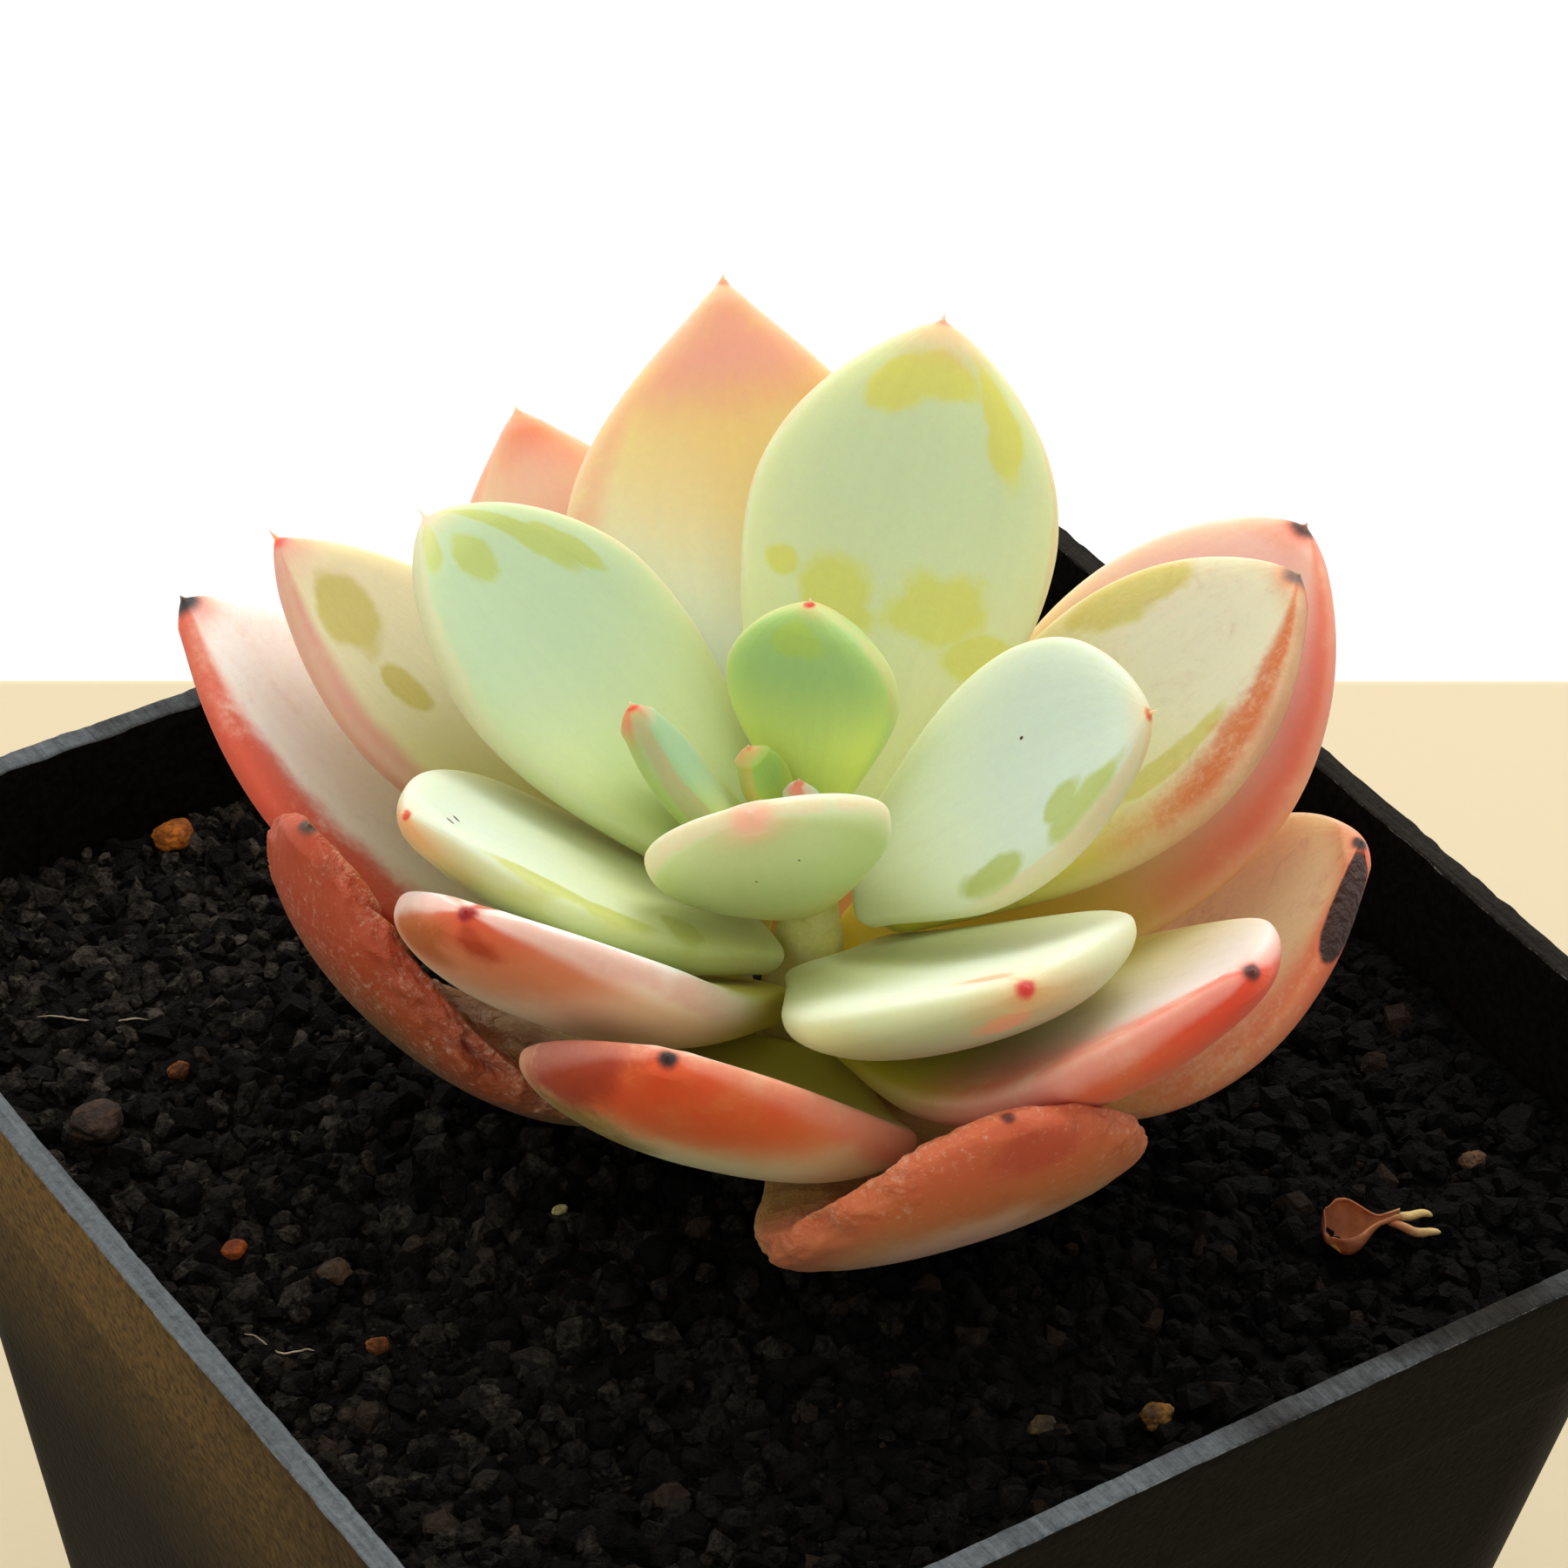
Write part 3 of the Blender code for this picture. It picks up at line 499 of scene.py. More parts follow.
LOOKS = {
    "heart_leaf_1": Look((176, 204, 180), (150, 186, 120), (176, 200, 160), (176, 200, 150),
                         (215, 215, 130), (214, 120, 110), (200, 110, 96), 0.10, blush=0.15, spike=0.25),
    "heart_leaf_2": Look((150, 186, 96), (150, 186, 80), (156, 190, 96), (160, 190, 90),
                         (205, 212, 90), (214, 150, 110), (200, 130, 90), 0.05, blush=0.15, spike=0.2),
    "heart_leaf_3": Look((166, 200, 126), (176, 202, 96), (160, 190, 110), (160, 190, 100),
                         (214, 230, 126), (216, 180, 130), (196, 76, 60), 0.14, 0.02, 0.02, 0.02,
                         rim=0.5, rubbed=((0.86, 0.10, 0.09, 0.42),), blush=0.15, spike=0.4),
    "heart_leaf_4": Look((156, 190, 150), (150, 186, 110), (166, 194, 126), (172, 196, 116),
                         (215, 216, 110), (210, 120, 100), (206, 60, 58), 0.2, 0.05, 0.08, 0.03,
                         rim=0.6, blush=0.15, spike=0.35),
    "heart_leaf_5": Look((206, 216, 192), (190, 204, 124), (190, 212, 150), (186, 206, 136),
                         (214, 214, 120), (224, 190, 160), (232, 184, 160), 0.7, 0.02, 0.03, 0.02,
                         rim=0.4, scars=((0.72, -0.12, -0.9, 0.006, 0.012, 0.6),
                                         (0.80, 0.34, -0.9, 0.006, 0.012, 0.6)), blush=0.15, spike=0.12),
    "inner_leaf_1": Look((214, 228, 184), (220, 222, 110), (208, 212, 150), (214, 214, 140),
                         (228, 232, 178), (228, 184, 160), (212, 120, 110), 0.34, 0.05, 0.06, 0.02,
                         rim=0.35,
                         rubbed=((0.88, 0.34, 0.055, 0.30), (0.90, -0.10, 0.05, 0.5),
                                 (0.83, -0.66, 0.12, 0.16), (0.49, 0.73, 0.03, 0.11),
                                 (0.44, 0.36, 0.08, 0.26), (0.47, -0.36, 0.075, 0.36),
                                 (0.40, -0.70, 0.05, 0.25)), blush=0.15, spike=0.5),
    "inner_leaf_2": Look((186, 208, 168), (182, 196, 96), (200, 208, 150), (208, 210, 140),
                         (212, 224, 158), (220, 200, 170), (222, 196, 176), 0.3, 0.02, 0.05, 0.04,
                         rim=0.5,
                         rubbed=((0.88, 0.12, 0.055, 0.26), (0.86, -0.52, 0.13, 0.13),
                                 (0.96, 0.72, 0.05, 0.22), (0.76, -0.66, 0.10, 0.10)),
                         blush=0.15, spike=0.8),
    "inner_leaf_3": Look((198, 214, 194), (170, 184, 88), (200, 208, 156), (206, 208, 134),
                         (222, 232, 196), (222, 190, 146), (196, 112, 76), 0.16, 0.02, 0.04, 0.02,
                         rim=0.4,
                         rubbed=((0.84, -0.86, 0.10, 0.20), (0.78, -0.62, 0.05, 0.16),
                                 (0.56, -0.86, 0.10, 0.14)),
                         scars=((0.66, 0.15, 0.8, 0.006, 0.016, 0.6),), blush=0.15, spike=0.6),
    "inner_leaf_4": Look((210, 224, 200), (190, 196, 96), (178, 196, 120), (174, 196, 114),
                         (208, 214, 144), (228, 156, 112), (206, 84, 60), 0.12, 0.0, 0.05, 0.0,
                         rim=0.10, yellow=0.88,
                         rubbed=((0.80, 0.90, 0.10, 0.10), (0.62, 0.92, 0.12, 0.08),
                                 (0.40, 0.80, 0.06, 0.2)),
                         scars=((0.93, 0.30, 0.9, 0.004, 0.10, 0.7),
                                (0.90, 0.10, 0.9, 0.004, 0.08, 0.7)), blush=0.15, spike=0.4),
    "inner_leaf_5": Look((226, 234, 204), (206, 208, 120), (184, 202, 156), (184, 192, 116),
                         (208, 216, 150), (216, 160, 104), (200, 62, 56), 0.36, 0.01, 0.03, 0.0,
                         rim=0.15, stains=((0.93, -0.30, 0.05, 0.30, (226, 172, 128)),),
                         blush=0.15, spike=0.2),
    "middle_leaf_1": Look((246, 220, 146), (246, 206, 104), (240, 196, 124), (236, 200, 120),
                          (236, 250, 230), (248, 190, 166), (214, 130, 110), 0.3, 0.20, 0.3, 0.14,
                          rim=0.05, yellow=0.85,
                          rubbed=((0.62, -0.72, 0.20, 0.22), (0.48, -0.35, 0.2, 0.2)), spike=0.35),
    "middle_leaf_2": Look((214, 208, 172), (190, 178, 84), (212, 190, 150), (214, 198, 130),
                          (218, 216, 110), (206, 130, 130), (214, 84, 84), 0.4, 0.04, 0.16, 0.13, 1,
                          rim=0.25,
                          rubbed=((0.85, 0.24, 0.075, 0.40), (0.69, 0.34, 0.045, 0.14)), spike=0.8),
    "middle_leaf_3": Look((216, 212, 182), (196, 188, 88), (214, 180, 116), (208, 184, 104),
                          (210, 208, 70), (206, 108, 46), (112, 88, 80), 0.6, 0.03, 0.3, 0.17, -1,
                          rim=0.35,
                          rubbed=((0.60, -0.56, 0.14, 0.09), (0.74, 0.80, 0.12, 0.22)),
                          stains=((0.80, -0.84, 0.24, 0.20, (196, 104, 40)),),
                          scars=((0.985, -0.2, 0.0, 0.02, 0.35, 0.8),), flesh=0.7, spike=0.25,
                          scuffs=0.5),
    "middle_leaf_4": Look((250, 246, 240), (216, 190, 120), (226, 156, 106), (234, 208, 168),
                          (222, 208, 90), (212, 88, 44), (150, 22, 18), 0.30, 0.02, 0.09, 0.03,
                          rim=0.4, stains=((0.90, -0.62, 0.08, 0.34, (186, 96, 30)),
                                            (0.96, 0.25, 0.05, 0.30, (186, 66, 20))), flesh=0.5,
                          scuffs=0.15, spike=0.25),
    "middle_leaf_5": Look((236, 220, 212), (212, 180, 90), (224, 110, 70), (226, 150, 96),
                          (212, 206, 30), (220, 74, 40), (84, 34, 30), 0.38, 0.02, 0.14, 0.44, -1,
                          rim=0.25, yellow=0.82, spike=0.2, scuffs=0.3, flesh=0.85),
    "outer_leaf_1": Look((250, 216, 192), (248, 196, 140), (244, 176, 140), (244, 180, 130),
                         (244, 206, 130), (244, 164, 138), (220, 140, 124), 0.3, 0.1, 0.3, 0.10,
                         rim=0.0, spike=0.3),
    "outer_leaf_2": Look((250, 240, 234), (220, 186, 130), (226, 176, 140), (226, 200, 150),
                         (236, 236, 170), (222, 92, 60), (24, 22, 26), 0.8, 0.02, 0.22, 0.22, 1,
                         rim=0.0, stains=((0.66, 0.90, 0.30, 0.24, (206, 78, 48)),), flesh=0.8,
                         spike=0.3, scuffs=0.35),
    "outer_leaf_3": Look((242, 206, 196), (246, 186, 110), (238, 160, 112), (244, 208, 90),
                         (234, 216, 70), (236, 116, 84), (60, 44, 46), 0.6, 0.02, 0.3, 0.20, -1,
                         rim=0.15, spike=0.3),
    "outer_leaf_4": Look((244, 212, 164), (234, 178, 100), (226, 130, 86), (222, 160, 100),
                         (230, 190, 70), (222, 104, 66), (60, 44, 44), 0.3, 0.05, 0.25, 0.25, -1,
                         rim=0.05, scars=((0.945, -1.0, -0.05, 0.070, 0.46, 1.1),), spike=0.2,
                         scuffs=0.9, flesh=0.6),
    "outer_leaf_5": Look((206, 120, 92), (190, 92, 60), (150, 68, 18), (106, 84, 28),
                         (190, 150, 60), (178, 70, 34), (80, 56, 40), 0.4, 0.3, 0.2, 0.30,
                         rim=0.1, wrinkles=0.55, spike=0.25, scuffs=1.0, flesh=0.35),
    "outer_leaf_6": Look((240, 216, 196), (206, 160, 76), (232, 128, 60), (232, 232, 168),
                         (212, 206, 74), (224, 84, 34), (38, 18, 14), 0.44, 0.01, 0.17, 0.08,
                         rim=0.15, stains=((0.70, -0.55, 0.10, 0.35, (150, 118, 22)),
                                          (0.86, -0.92, 0.14, 0.34, (164, 54, 20))),
                         flesh=0.5, blush=0.15, scuffs=0.15, spike=0.1),
    "outer_leaf_7": Look((230, 134, 84), (212, 116, 66), (200, 120, 60), (206, 158, 100),
                         (196, 150, 70), (206, 98, 58), (110, 50, 36), 0.25, 0.5, 0.14, 0.2,
                         rim=0.15, stains=((0.66, -0.1, 0.12, 0.50, (228, 180, 146)),
                                           (0.95, 0.30, 0.05, 0.60, (192, 80, 50))),
                         wrinkles=0.30, spike=0.15, scuffs=1.0, flesh=0.35),
    "outer_leaf_8": Look((226, 126, 60), (224, 120, 50), (220, 120, 64), (220, 124, 64),
                         (236, 226, 120), (224, 100, 60), (120, 60, 50), 0.3, 0.3, 0.5, 0.3,
                         rim=0.1, yellow=0.40, spike=0.3),
}


def closing(share):
    """Rounds off the base end of a leaf, as a quarter circle."""
    near = np.clip(share / LEAF_BASE_ROUND, 0, 1)
    return np.sqrt(1 - (1 - near) ** 2)


def leaf_width(share, point):
    """Half-width along a leaf, of its greatest: a sine swelling, times a wedge to the tip."""
    swell = np.sin(math.pi / 2 * np.clip(share / LEAF_WIDEST, 0, 1)) ** LEAF_SWELL
    beyond = np.clip((share - LEAF_WIDEST) / (1 - LEAF_WIDEST), 0, 1)
    return (LEAF_NECK + (1 - LEAF_NECK) * swell) * (1 - beyond ** 2) ** point * closing(share)


def leaf_thickness(share):
    """Thickness along a leaf, of its greatest: a sine swelling, times a round end."""
    swell = np.sin(math.pi / 2 * np.clip(share / LEAF_THICKEST, 0, 1))
    beyond = np.clip((share - LEAF_THICKEST) / (1 - LEAF_THICKEST), 0, 1)
    round_off = np.sqrt(1 - beyond ** LEAF_TIP_ROUND) * closing(share)
    return (LEAF_NECK_THICKNESS + (1 - LEAF_NECK_THICKNESS) * swell) * round_off


def boxy(value):
    """Cosine or sine around a section, pushed towards a square's sides."""
    return np.sign(value) * np.abs(value) ** (2 / LEAF_ROUND)


def with_point(size, share, spike):
    """Half-size of a section with the small point added: the cubed sum of both."""
    start = 1 - 3 * spike
    taper = np.clip((share - start) / (1 + spike - start), 0, 1)
    cone = POINT_WIDTH / 2 * (1 - taper) ** 1.25 * smooth_step(start - 0.1, start + 0.02, share)
    return (size ** 3 + cone ** 3) ** (1 / 3)


def midrib(share, lift, length):
    """Distance out, height and lift on a midrib whose lift changes evenly from base to tip.

    The steps' cosines and sines are summed as trapezia along the length.
    """
    base, tip = np.radians(lift)
    angle = base + (tip - base) * share
    step = np.diff(share)[:, None] * length
    pairs = np.stack([np.cos(angle), np.sin(angle)], axis=1)
    summed = np.cumsum((pairs[1:] + pairs[:-1]) / 2 * step, axis=0)
    out, up = np.concatenate([np.zeros((1, 2)), summed]).T
    return out, up, angle


def leaf_shares(rows, spike):
    """Places along a leaf from its base to past its tip, closer together at both ends."""
    turn = np.linspace(0, math.pi, rows + 2)
    return (1 - np.cos(turn)) / 2 * (1 + spike)


def leaf_surface(leaf, look, rows, columns):
    """Points of a leaf's skin with three values at each: along, across and over.

    A boxy section of the leaf's width and thickness is carried along its midrib, cupped,
    rolled, swayed sideways by the square of the length, and turned to its azimuth.
    """
    base_radius, thickness = RINGS[leaf.name.split("_")[0]]
    length, width = leaf.length * MM, leaf.width * MM
    depth_all = thickness * leaf.plump * MM
    spike = look.spike * MM / length
    share = leaf_shares(rows, spike)
    turn = np.arange(columns) / columns * 2 * math.pi
    across = boxy(np.cos(turn))[None, :]
    over = boxy(np.sin(turn))[None, :]
    inside = np.minimum(share, 1)
    half = with_point(width / 2 * leaf_width(inside, leaf.point), share, spike)[:, None]
    depth = with_point(depth_all * leaf_thickness(inside) / 2, share, spike)[:, None] * 2
    seed = sum(map(ord, leaf.name))
    wave = np.stack(np.broadcast_arrays(share[:, None] * 3, across * 1.2, over * 0.8), axis=-1)
    depth = depth * (1 + 0.05 * rough_noise(wave, 0.9, seed))
    half = half * (1 + 0.02 * rough_noise(wave, 0.5, seed + 7))
    if look.wrinkles:
        skin = np.stack(np.broadcast_arrays(share[:, None] * length * 0.7, half * across,
                                            depth * over), axis=-1)
        fold = 1 - 2.4 * np.abs(layered_noise(skin, 2.6 * MM, 4, seed))
        body = smooth_step(0.15, 0.55, share)[:, None] * smooth_step(1.0, 0.93, share)[:, None]
        body = body * smooth_step(-1.0, -0.1, over)
        depth = depth + look.wrinkles * MM * 2 * fold * body
        half = half + look.wrinkles * MM * fold * body
    side = half * across
    rise = depth * over * np.where(over > 0, LEAF_UPPER, 1 - LEAF_UPPER) + leaf.cup * half * across ** 2
    roll = math.radians(leaf.roll)
    sideways = side * math.cos(roll) - rise * math.sin(roll) + leaf.sway * length * share[:, None] ** 2
    outward = side * math.sin(roll) + rise * math.cos(roll)
    out, up, angle = (part[:, None] for part in midrib(share, leaf.lift, length))
    forward = (base_radius - leaf.inset) * MM + out - outward * np.sin(angle)
    azimuth = math.radians(leaf.azimuth)
    ahead = direction(azimuth)
    beside = direction(azimuth + math.pi / 2)
    flat = STEM_AXIS + forward[..., None] * ahead + sideways[..., None] * beside
    height = SOIL_LEVEL + leaf.height * MM + up + outward * np.cos(angle)
    points = np.concatenate([flat, height[..., None]], axis=-1)
    return points, np.broadcast_arrays(share[:, None], across, over)


def leaf_mesh(leaf, look, rows, columns):
    """The closed skin of a leaf; its first and last rows shrink to the two poles."""
    points, values = leaf_surface(leaf, look, rows, columns)
    attributes = {
        name: (value[1:-1], float(value[0].mean()), float(value[-1].mean()))
        for name, value in zip(("along", "across", "over"), values)
    }
    return tube_mesh(leaf.name, points[1:-1], points[0].mean(axis=0), points[-1].mean(axis=0),
                     attributes)


def leaf_finish(leaf, look, share, tip):
    """Powdery or bare skin, a painted glow towards the stem, a flush of stress colour, a pale rim, a
    point, specks and scars.
    """
    colors = {name: display(*getattr(look, name))
              for name in ("top", "bare", "under", "keel", "glow", "flush", "point")}
    finish = Finish(leaf.name + "_skin", Subsurface_Weight=share.translucence * look.flesh,
                    Subsurface_Radius=SKIN_RADII, Subsurface_Scale=share.depth,
                    Specular_IOR_Level=0.36, Sheen_Weight=share.dew * look.flesh, Sheen_Roughness=0.55)
    along, across, over = (finish.attribute(name) for name in ("along", "across", "over"))
    place = finish.place()
    broad = finish.noise(place, 95, 2)
    middle = finish.noise(place, 420, 3)
    fine = finish.noise(place, 2400, 2)
    blotch = broad * 0.6 + middle * 0.5
    upper = finish.step(-0.75, 0.75, over + middle * 0.05)
    edge = abs(across)

    bare = finish.step(0.5, 1.0, blotch) * 0.25
    for patch_along, patch_across, long, wide in look.rubbed:
        apart = spot_distance((along, patch_along, long), (across, patch_across, wide))
        bare = bare.larger(finish.step(1.22, 0.80, apart + middle * 0.42 + broad * 0.2))
    # Painted glow: towards the stem both faces turn a very bright yellow, partly the leaf's own colour and
    # partly standing in for light shining through the leaf.
    glow = finish.step(look.yellow, look.yellow - 0.54, along - edge * 0.10 + broad * 0.07)
    top = finish.mix(glow, finish.tone(colors["top"], 1 + broad * 0.04), colors["glow"])
    top = finish.mix(bare * 0.85, top, colors["bare"])
    keel = finish.step(0.88, 0.68, along + blotch * 0.05)
    under = finish.mix(keel, colors["under"], colors["keel"])
    under = finish.mix(finish.step(0.35, 0.85, blotch) * 0.4, under, colors["bare"])
    under = finish.mix(finish.step(0.48, 0.10, along + broad * 0.10), under, colors["glow"])

    border = across * look.side if look.side else edge
    border = finish.step(1 - 2.2 * look.margin, 1 - 0.5 * look.margin, border + blotch * 0.10)
    border = border * finish.step(0.30, 0.62, along + broad * 0.1) * (1 if look.margin else 0)
    tip_top = 1 - look.flush_top
    tip_under = 1 - look.flush_under
    flush_top = finish.step(tip_top - 0.05, tip_top + 0.08, along + blotch * 0.05).larger(border * 0.8)
    flush_under = finish.step(tip_under - 0.09, tip_under + 0.09, along + blotch * 0.05)
    blush = finish.step(tip_under - 0.28, tip_under + 0.06, along + blotch * 0.09) * look.blush
    flush_under = flush_under.larger(border * 0.7).larger(blush)
    mottle = 1 - finish.step(0.0, 0.9, middle * 0.8 + broad * 0.3 + fine * 0.25) * 0.42
    warm = finish.mix(finish.step(-0.3, 0.9, blotch) * 0.35, colors["flush"], colors["bare"])
    top = finish.mix(flush_top * mottle, top, warm)
    under = finish.mix(flush_under * mottle, under, warm)
    color = finish.mix(upper, under, top)
    for stain_along, stain_across, long, wide, stain_color in look.stains:
        apart = spot_distance((along, stain_along, long), (across, stain_across, wide))
        stained = finish.step(1.4, 0.5, apart + middle * 0.40 + fine * 0.12 + broad * 0.15)
        stained = stained * (1 - finish.step(0.2, 0.9, middle + fine * 0.5) * 0.5)
        color = finish.mix(stained * 0.9, color, display(*stain_color))

    rim = finish.step(0.88, 1.0, edge + middle * 0.02) * finish.step(0.12, 0.4, along)
    color = finish.mix(rim * look.rim, color, finish.tone(colors["top"], 1.10))
    streak = finish.noise(finish.vector(across * 9, along * 2.2, over * 3), 1.0, 3)
    color = finish.tone(color, 1 + streak * 0.025 + fine * 0.02)

    if look.scuffs:
        flecks = finish.noise(place, 2600, 5, 0.0, 0.8) * 1.2 + broad * 0.3 + middle * 0.3
        scuffed = finish.step(0.0, 0.8, flecks + upper * 0.25 - 0.1)
        color = finish.mix(scuffed * 0.60 * look.scuffs, color, SCUFF_DUST)
        worn = finish.step(0.05, 0.7, finish.noise(place, 420, 5, 0.6, 0.72))
        color = finish.mix(worn * 0.45 * look.scuffs, color, finish.tone(colors["flush"], 0.55))
    near, chosen = finish.cells(place, 430.0)
    freckle = finish.step(0.045, 0.025, near) * finish.step(0.95, 0.96, chosen)
    color = finish.mix(freckle * 0.8, color, FRECKLE)

    marked = 0.0
    for scar_along, scar_across, scar_over, long, wide, tall in look.scars:
        apart = spot_distance((along, scar_along, long), (across, scar_across, wide),
                              (over, scar_over, tall)) + middle * 0.16
        halo = finish.step(1.7, 1.0, apart)
        spot = finish.step(1.08, 0.90, apart)
        color = finish.mix(halo * 0.4, color, colors["flush"])
        crust = finish.mix(finish.step(0.4, 1.1, fine + middle * 0.6), SCAR_DARK, SCAR_PALE)
        color = finish.mix(spot * 0.96, color, crust)
        marked = spot + marked
    away = finish.node('ShaderNodeVectorMath', {"operation": 'DISTANCE'}, {0: place, 1: tip}, "Value")
    from_tip = away / MM + middle * 0.24 + fine * 0.06 - look.spike
    color = finish.mix(finish.step(look.dot * 2.6, look.dot, from_tip) * 0.45, color, colors["flush"])
    color = finish.mix(finish.step(look.dot * 1.6, look.dot * 0.4, from_tip), color, colors["point"])

    roughness = 0.55 - bare * upper * 0.14 + marked * 0.2 + fine * 0.03
    height = middle * 0.22 + fine * 0.14 - bare * upper * 0.12 + streak * 0.16 + marked * fine * 2.5
    if look.wrinkles:
        crease = abs(finish.noise(place, 700, 4, 0.8, 0.6))
        height = height - crease * look.wrinkles * 9 * finish.step(-0.9, 0.0, over)
    return finish.done(color, roughness, height, 0.06 * MM)


# ---------------------------------------------------------------- pot

CORNER_POINTS = 22
SIDE_POINTS = 120
RIM_SHARPNESS = 0.05 * MM           # the rim's rounded edge takes this off the pot's box


def square_path():
    """Directions around a rounded square: how much of the straight part, and of the corner arc.

    Returns, for each point, the signs of its corner's centre (with the share along a straight
    side) and the unit vector of the arc.
    """
    centres = []
    arcs = []
    for quarter in range(4):
        turn = quarter * math.pi / 2
        spin = np.array([[math.cos(turn), math.sin(turn)], [-math.sin(turn), math.cos(turn)]])
        angle = np.linspace(0, math.pi / 2, CORNER_POINTS, endpoint=False)
        centres.append(np.tile([1.0, 1.0], (CORNER_POINTS, 1)) @ spin)
        arcs.append(direction(angle) @ spin)
        slide = np.linspace(1, -1, SIDE_POINTS, endpoint=False)
        centres.append(np.stack([slide, np.ones(SIDE_POINTS)], axis=1) @ spin)
        arcs.append(np.tile([0.0, 1.0], (SIDE_POINTS, 1)) @ spin)
    return np.concatenate(centres), np.concatenate(arcs)


def square_rings(levels):
    """Rounded squares, one for each level of (half width, corner radius, height)."""
    centres, arcs = square_path()
    half, corner, height = (np.array(part)[:, None] for part in zip(*levels))
    flat = (half - corner)[..., None] * centres + corner[..., None] * arcs
    return np.concatenate([flat, np.broadcast_to(height[..., None], flat.shape[:2] + (1,))], axis=-1)


def pot_half(pot, z, band):
    """Half the outside width at height z, of the band or of the side below it."""
    return POT_HIGH.x + RIM_SHARPNESS - pot.taper * (POT_HEIGHT - z) - (0 if band else pot.band_step)


def edge_arc(half, corner, z, radius, start, steps=5):
    """Levels around a rounded edge, whose centre is radius in and radius down or up.

    The angle runs a quarter turn from start, in degrees, where 0 points outwards.
    """
    angles = np.radians(start + np.linspace(0, 90, steps))
    return [(half - radius + radius * math.cos(a), corner - radius + radius * math.cos(a),
             z + radius * math.sin(a)) for a in angles]


def straight(first, last, steps):
    """Levels evenly spaced between two, without the first."""
    share = np.linspace(0, 1, steps + 1)[1:, None]
    return [tuple(level) for level in np.array(first) * (1 - share) + np.array(last) * share]


def pot_levels(pot):
    """The pot's profile: under its foot, up its outside, over the rim and down its inside."""
    band_bottom = POT_HEIGHT - pot.band_height
    band_corner = pot.corner + pot.band_step
    lip = 0.14 * MM
    foot = pot_half(pot, pot.edge, False)
    side_top = (pot_half(pot, band_bottom, False), pot.corner, band_bottom - 0.3 * MM)
    outer = pot_half(pot, POT_HEIGHT, True)
    inner = outer - pot.wall
    band_inner = pot_half(pot, band_bottom, True) - pot.wall
    levels = [(foot * share, max(pot.corner * share, MM), 0.0) for share in (0.1, 0.35, 0.6, 0.8, 0.93)]
    levels += edge_arc(foot, pot.corner, pot.edge, pot.edge, -90)
    levels += straight(levels[-1], side_top, 14)
    levels += [(side_top[0] + 0.12 * MM, pot.corner + 0.12 * MM, band_bottom - 0.08 * MM),
               (side_top[0] + 0.35 * MM, pot.corner + 0.35 * MM, band_bottom)]
    levels += edge_arc(pot_half(pot, band_bottom, True), band_corner, band_bottom + 0.25 * MM,
                       0.25 * MM, -90)
    levels += straight(levels[-1], (outer, band_corner, POT_HEIGHT - lip), 10)
    levels += edge_arc(outer, band_corner, POT_HEIGHT - lip, lip, 0)[1:]
    levels += straight(levels[-1], (inner + lip, band_corner - pot.wall + lip, POT_HEIGHT), 5)
    levels += [(inner + 0.04 * MM, band_corner - pot.wall, POT_HEIGHT - 0.04 * MM),
               (inner, band_corner - pot.wall, POT_HEIGHT - lip)]
    levels += straight(levels[-1], (band_inner, band_corner - pot.wall, band_bottom), 10)
    inner_side = pot_half(pot, band_bottom - pot.wall, False) - pot.wall
    levels += straight(levels[-1], (inner_side, pot.corner - pot.wall, band_bottom - pot.wall), 3)
    floor_side = pot_half(pot, pot.floor, False) - pot.wall
    levels += straight(levels[-1], (floor_side, pot.corner - pot.wall, pot.floor), 12)
    levels += [(floor_side * share, max((pot.corner - pot.wall) * share, MM), pot.floor)
               for share in (0.93, 0.8, 0.6, 0.35, 0.1)]
    return levels


def pot_mesh(pot):
    """The pot's shell, with a ragged edge where the rim was cut, and a mark for the cut face."""
    levels = pot_levels(pot)
    rings = square_rings(levels)
    height = rings[..., 2]
    rim = (np.abs(height - POT_HEIGHT) < 0.2 * MM).astype(float)
    cut = smooth_step(POT_HEIGHT - 0.12 * MM, POT_HEIGHT - 0.02 * MM, height) * rim
    ragged = layered_noise(rings, 0.9 * MM, 3, 5) * pot.burr
    nicks = np.maximum(rough_noise(rings, 1.6 * MM, 11) - 0.72, 0) * 0.5 * MM
    away = rings[..., :2] / np.linalg.norm(rings[..., :2], axis=-1, keepdims=True).clip(MM)
    rings[..., :2] += away * ((ragged + nicks) * rim)[..., None]
    warp = 0.12 * MM * rough_noise(rings, 22 * MM, 3) * smooth_step(0.3, 1.0, height / POT_HEIGHT)
    rings[..., :2] += away * warp[..., None]
    rings[..., 2] += 0.5 * ragged * rim
    bottom = np.array([0, 0, levels[0][2]])
    inside = np.array([0, 0, levels[-1][2]])
    return tube_mesh("pot_shell", rings, bottom, inside, {"cut": (cut, 0.0, 0.0)})


def drain_cutter(pot):
    """Four upright cylinders through the floor, as one mesh with closed ends."""
    around = 40
    radius = pot.drain / 2
    circle = direction(np.arange(around) / around * 2 * math.pi)
    heights = np.array([-1, 2.5]) * pot.floor
    points = []
    faces = []
    for side_x, side_y in ((1, 1), (-1, 1), (-1, -1), (1, -1)):
        middle = np.array([side_x, side_y]) * pot.drain_offset
        flat = middle + radius * circle
        rings = [np.column_stack([flat, np.full(around, z)]) for z in heights]
        cylinder = closed_faces(2, around)
        start = len(points) * (2 * around + 2)
        points.append(np.concatenate([[[*middle, heights[0]]], *rings, [[*middle, heights[1]]]]))
        faces += [[corner + start for corner in face] for face in cylinder]
    mesh = bpy.data.meshes.new("drain_cutter")
    mesh.from_pydata(np.concatenate(points).tolist(), [], faces)
    return mesh


